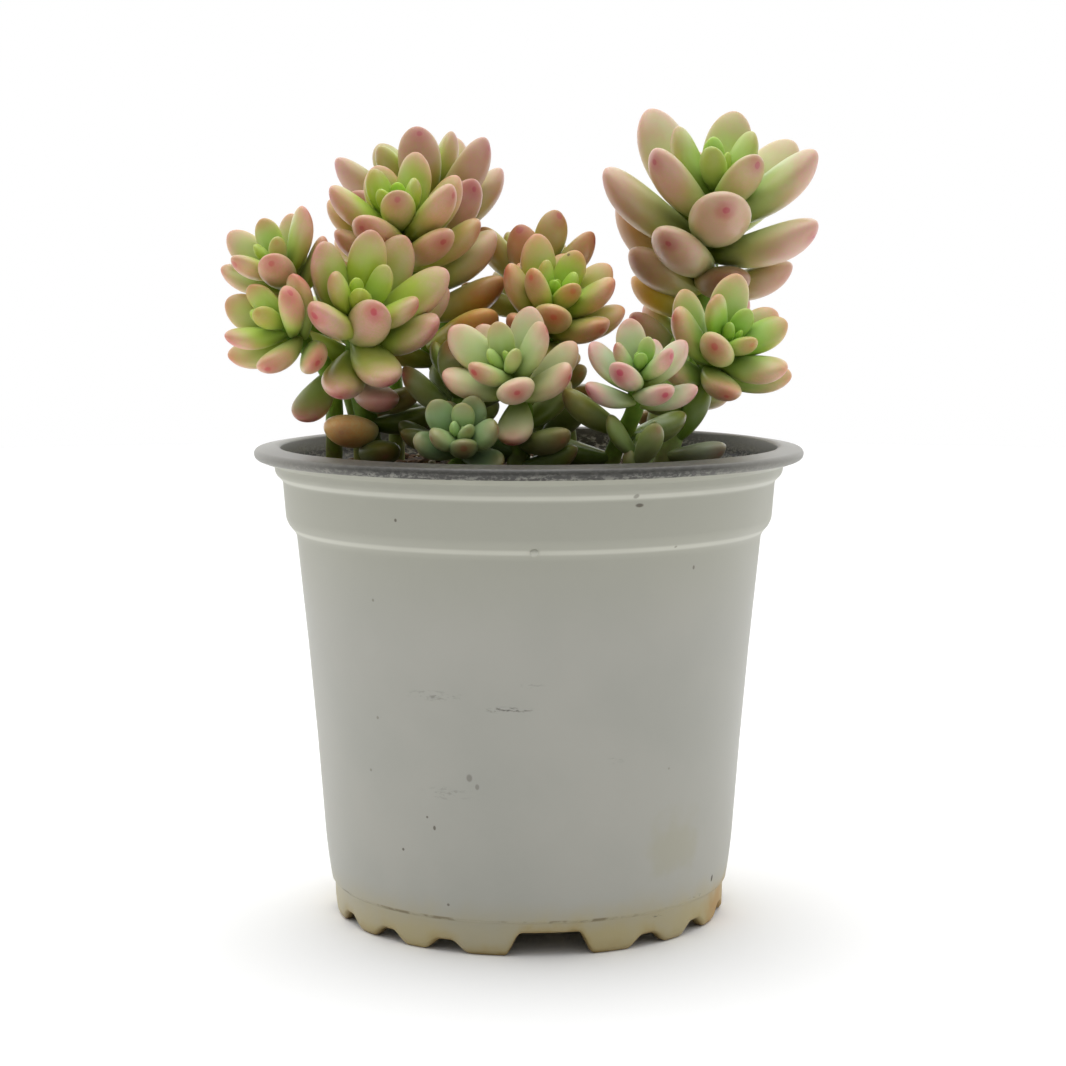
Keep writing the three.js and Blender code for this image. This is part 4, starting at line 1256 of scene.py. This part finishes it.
def leaf_skin():
    """Waxy succulent skin: soft and fleshy, with a low broad shine."""
    material, tree, shader = new_material(
        "waxy_leaf_skin", IOR=1.42, Subsurface_Weight=0.3, Subsurface_Scale=1.8 * MM,
        Sheen_Weight=0.05, Sheen_Roughness=0.45)
    shader.inputs["Subsurface Radius"].default_value = (1.0, 0.9, 0.35)
    shader.inputs["Sheen Tint"].default_value = linear("#fbf7ec")
    share, under, blushing, spotted, streaked = (
        add_node(tree, "Attribute", output="Fac", attribute_name=name) for name in FLOATS)
    flesh, blush, red = (
        add_node(tree, "Attribute", output="Color", attribute_name=name) for name in COLOURS)
    spot_place = add_node(tree, "Attribute", output="Vector", attribute_name="spot_place")
    place = add_node(tree, "TexCoord", output="Object")
    mottle, freckles, wax_patches = (
        add_node(tree, "TexNoise", {"Vector": place, "Scale": 1 / (size * MM), "Detail": detail})
        for size, detail in (MOTTLE, FRECKLES, WAX_PATCHES))

    # Painted shade in part: the underside is darkened as well as yellowed.
    underside_tint_and_shade = add_node(tree, "Math", (under, 0.5), operation="MULTIPLY")
    rooted = add_node(tree, "MapRange", (share, 0.05, 0.6, 0.9, 0.0), **EASED)
    colour = flesh
    for amount, hex_colour in ((underside_tint_and_shade, "#e2d478"), (rooted, "#bccb46")):
        colour = add_node(tree, "Mix", {0: amount, 6: colour, 7: linear(hex_colour)},
                          blend_type="MULTIPLY", **COLOURS_MIXED)

    reach = add_node(tree, "Math", (under, 0.35, share), operation="MULTIPLY_ADD")
    reach = add_node(tree, "Math", (mottle, 0.3, reach), operation="MULTIPLY_ADD")
    blushed = add_node(tree, "MapRange", (reach, 0.72, 1.3, 0.0, blushing), **EASED)
    speckle = add_node(tree, "MapRange", (freckles, 0.35, 0.65, 0.78, 1.0), **EASED)
    blushed = add_node(tree, "Math", (blushed, speckle), operation="MULTIPLY")

    streak = add_node(tree, "MapRange", (share, 0.45, 0.85, 0.0, 0.75), **EASED)
    streak = add_node(tree, "Math", (streak, streaked), operation="MULTIPLY")
    keel = add_node(tree, "MapRange", (under, 0.86, 1.0, 0.0, streak), **EASED)

    wobble = add_node(tree, "Math", (mottle, 0.5), operation="SUBTRACT")
    away = add_node(tree, "VectorMath", (place, spot_place), "Value", operation="DISTANCE")
    away = add_node(tree, "Math", (wobble, SPOT_RAGGED * MM, away), operation="MULTIPLY_ADD")
    halo = add_node(tree, "MapRange", (away, 0.6 * MM, SPOT_HALO * MM, 0.5, 0.0), **EASED)
    core = add_node(tree, "MapRange", (away, 0.4 * MM, SPOT_CORE * MM, 0.85, 0.0), **EASED)
    spot = add_node(tree, "Math", (halo, core), operation="MAXIMUM")
    spot = add_node(tree, "Math", (spot, spotted), operation="MULTIPLY")

    wax = add_node(tree, "MapRange", (wax_patches, 0.35, 0.7, 0.0, 0.1), **EASED)
    cells = add_node(tree, "TexVoronoi", {"Vector": place, "Scale": 1 / (NICK_SPACING * MM)})
    lot = add_node(tree, "SeparateColor", (cells.node.outputs["Color"],))
    rare = add_node(tree, "MapRange", (lot, 0.8, 0.82, 0.0, 0.75), **EASED)
    nick = add_node(tree, "MapRange", (cells, 0.03, 0.05, rare, 0.0), **EASED)
    for amount, tint in ((blushed, blush), (keel, red), (spot, red), (wax, linear("#e4e8da")),
                         (nick, linear("#6a5638"))):
        colour = add_node(tree, "Mix", {0: amount, 6: colour, 7: tint}, **COLOURS_MIXED)

    roughness = add_node(tree, "MapRange", (wax_patches, 0.35, 0.7, 0.3, 0.42), **EASED)
    bump = add_node(tree, "Bump", {"Height": mottle, "Strength": 0.35, "Distance": 0.12 * MM})
    tree.links.new(colour, shader.inputs["Base Color"])
    tree.links.new(roughness, shader.inputs["Roughness"])
    tree.links.new(bump, shader.inputs["Normal"])
    return material


# %% [markdown]
# The stems are green and smooth where they are young, near the head, and turn brown and corky
# towards the soil. The same attribute that says how far along a stem a point is drives the change.

# %% Stem bark
BARK_STREAK = 1.8


def stem_bark():
    """Green succulent stem that corks over at its foot."""
    material, tree, shader = new_material(
        "corking_green_stem", IOR=1.4, Roughness=0.55, Subsurface_Weight=0.15,
        Subsurface_Scale=1.5 * MM)
    place = add_node(tree, "TexCoord", output="Object")
    share = add_node(tree, "Attribute", output="Fac", attribute_name="leaf_share")
    streaks = add_node(tree, "TexNoise", {"Vector": place, "Scale": 1 / (BARK_STREAK * MM),
                                          "Detail": 5.0})
    green, cork = (
        add_node(tree, "Mix", {0: streaks, 6: linear(dark), 7: linear(pale)}, **COLOURS_MIXED)
        for dark, pale in (("#5c7f26", "#86a83a"), ("#5d5232", "#7f8044")))
    corked = add_node(tree, "Math", (streaks, 0.35, share), operation="MULTIPLY_ADD")
    corked = add_node(tree, "MapRange", (corked, 0.15, 0.55, 0.85, 0.0), **EASED)
    colour = add_node(tree, "Mix", {0: corked, 6: green, 7: cork}, **COLOURS_MIXED)
    bump = add_node(tree, "Bump", {"Height": streaks, "Strength": 0.5, "Distance": 0.15 * MM})
    tree.links.new(colour, shader.inputs["Base Color"])
    tree.links.new(bump, shader.inputs["Normal"])
    return material


# %% [markdown]
# All the pieces of one leafy stem go into one mesh, as they grow on the plant, and a Subdivision
# Surface modifier rounds them. The distance between each finished piece's box and that of the
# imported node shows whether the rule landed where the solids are.

# %% Making the leafy stems
FIRST_SEED = 100
ROUNDING_LEVELS = 2


def make_leafy_stem(number, stem, finishes):
    bm = bmesh.new()
    layers = {name: bm.verts.layers.float.new(name) for name in FLOATS}
    layers.update({name: bm.verts.layers.float_color.new(name) for name in COLOURS})
    layers["spot_place"] = bm.verts.layers.float_vector.new("spot_place")
    fill_stem(bm, layers, stem)
    draw = random.Random(FIRST_SEED + number)
    for leaf in leaves:
        if leaf["stem"] == number:
            fill_leaf(bm, layers, stem, leaf, draw)
    node = "leafy_stem_" + stem["name"]
    piece = new_piece(bm, "leaves_" + stem["name"], node, finishes)
    subdivision = piece.modifiers.new("rounding", "SUBSURF")
    subdivision.levels = subdivision.render_levels = ROUNDING_LEVELS
    points = np.array([vert.co for vert in piece.data.vertices])
    packed = np.array([list(corner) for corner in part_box(node)])
    gap = np.abs(np.array([points.min(axis=0), points.max(axis=0)]) - packed).max() / MM
    print(node, len(piece.data.polygons), "faces, box within", round(gap, 2), "mm")


plant_finishes = [leaf_skin(), stem_bark()]
for number, stem in enumerate(STEMS):
    make_leafy_stem(number, stem, plant_finishes)
bpy.data.meshes.remove(leaf_template)
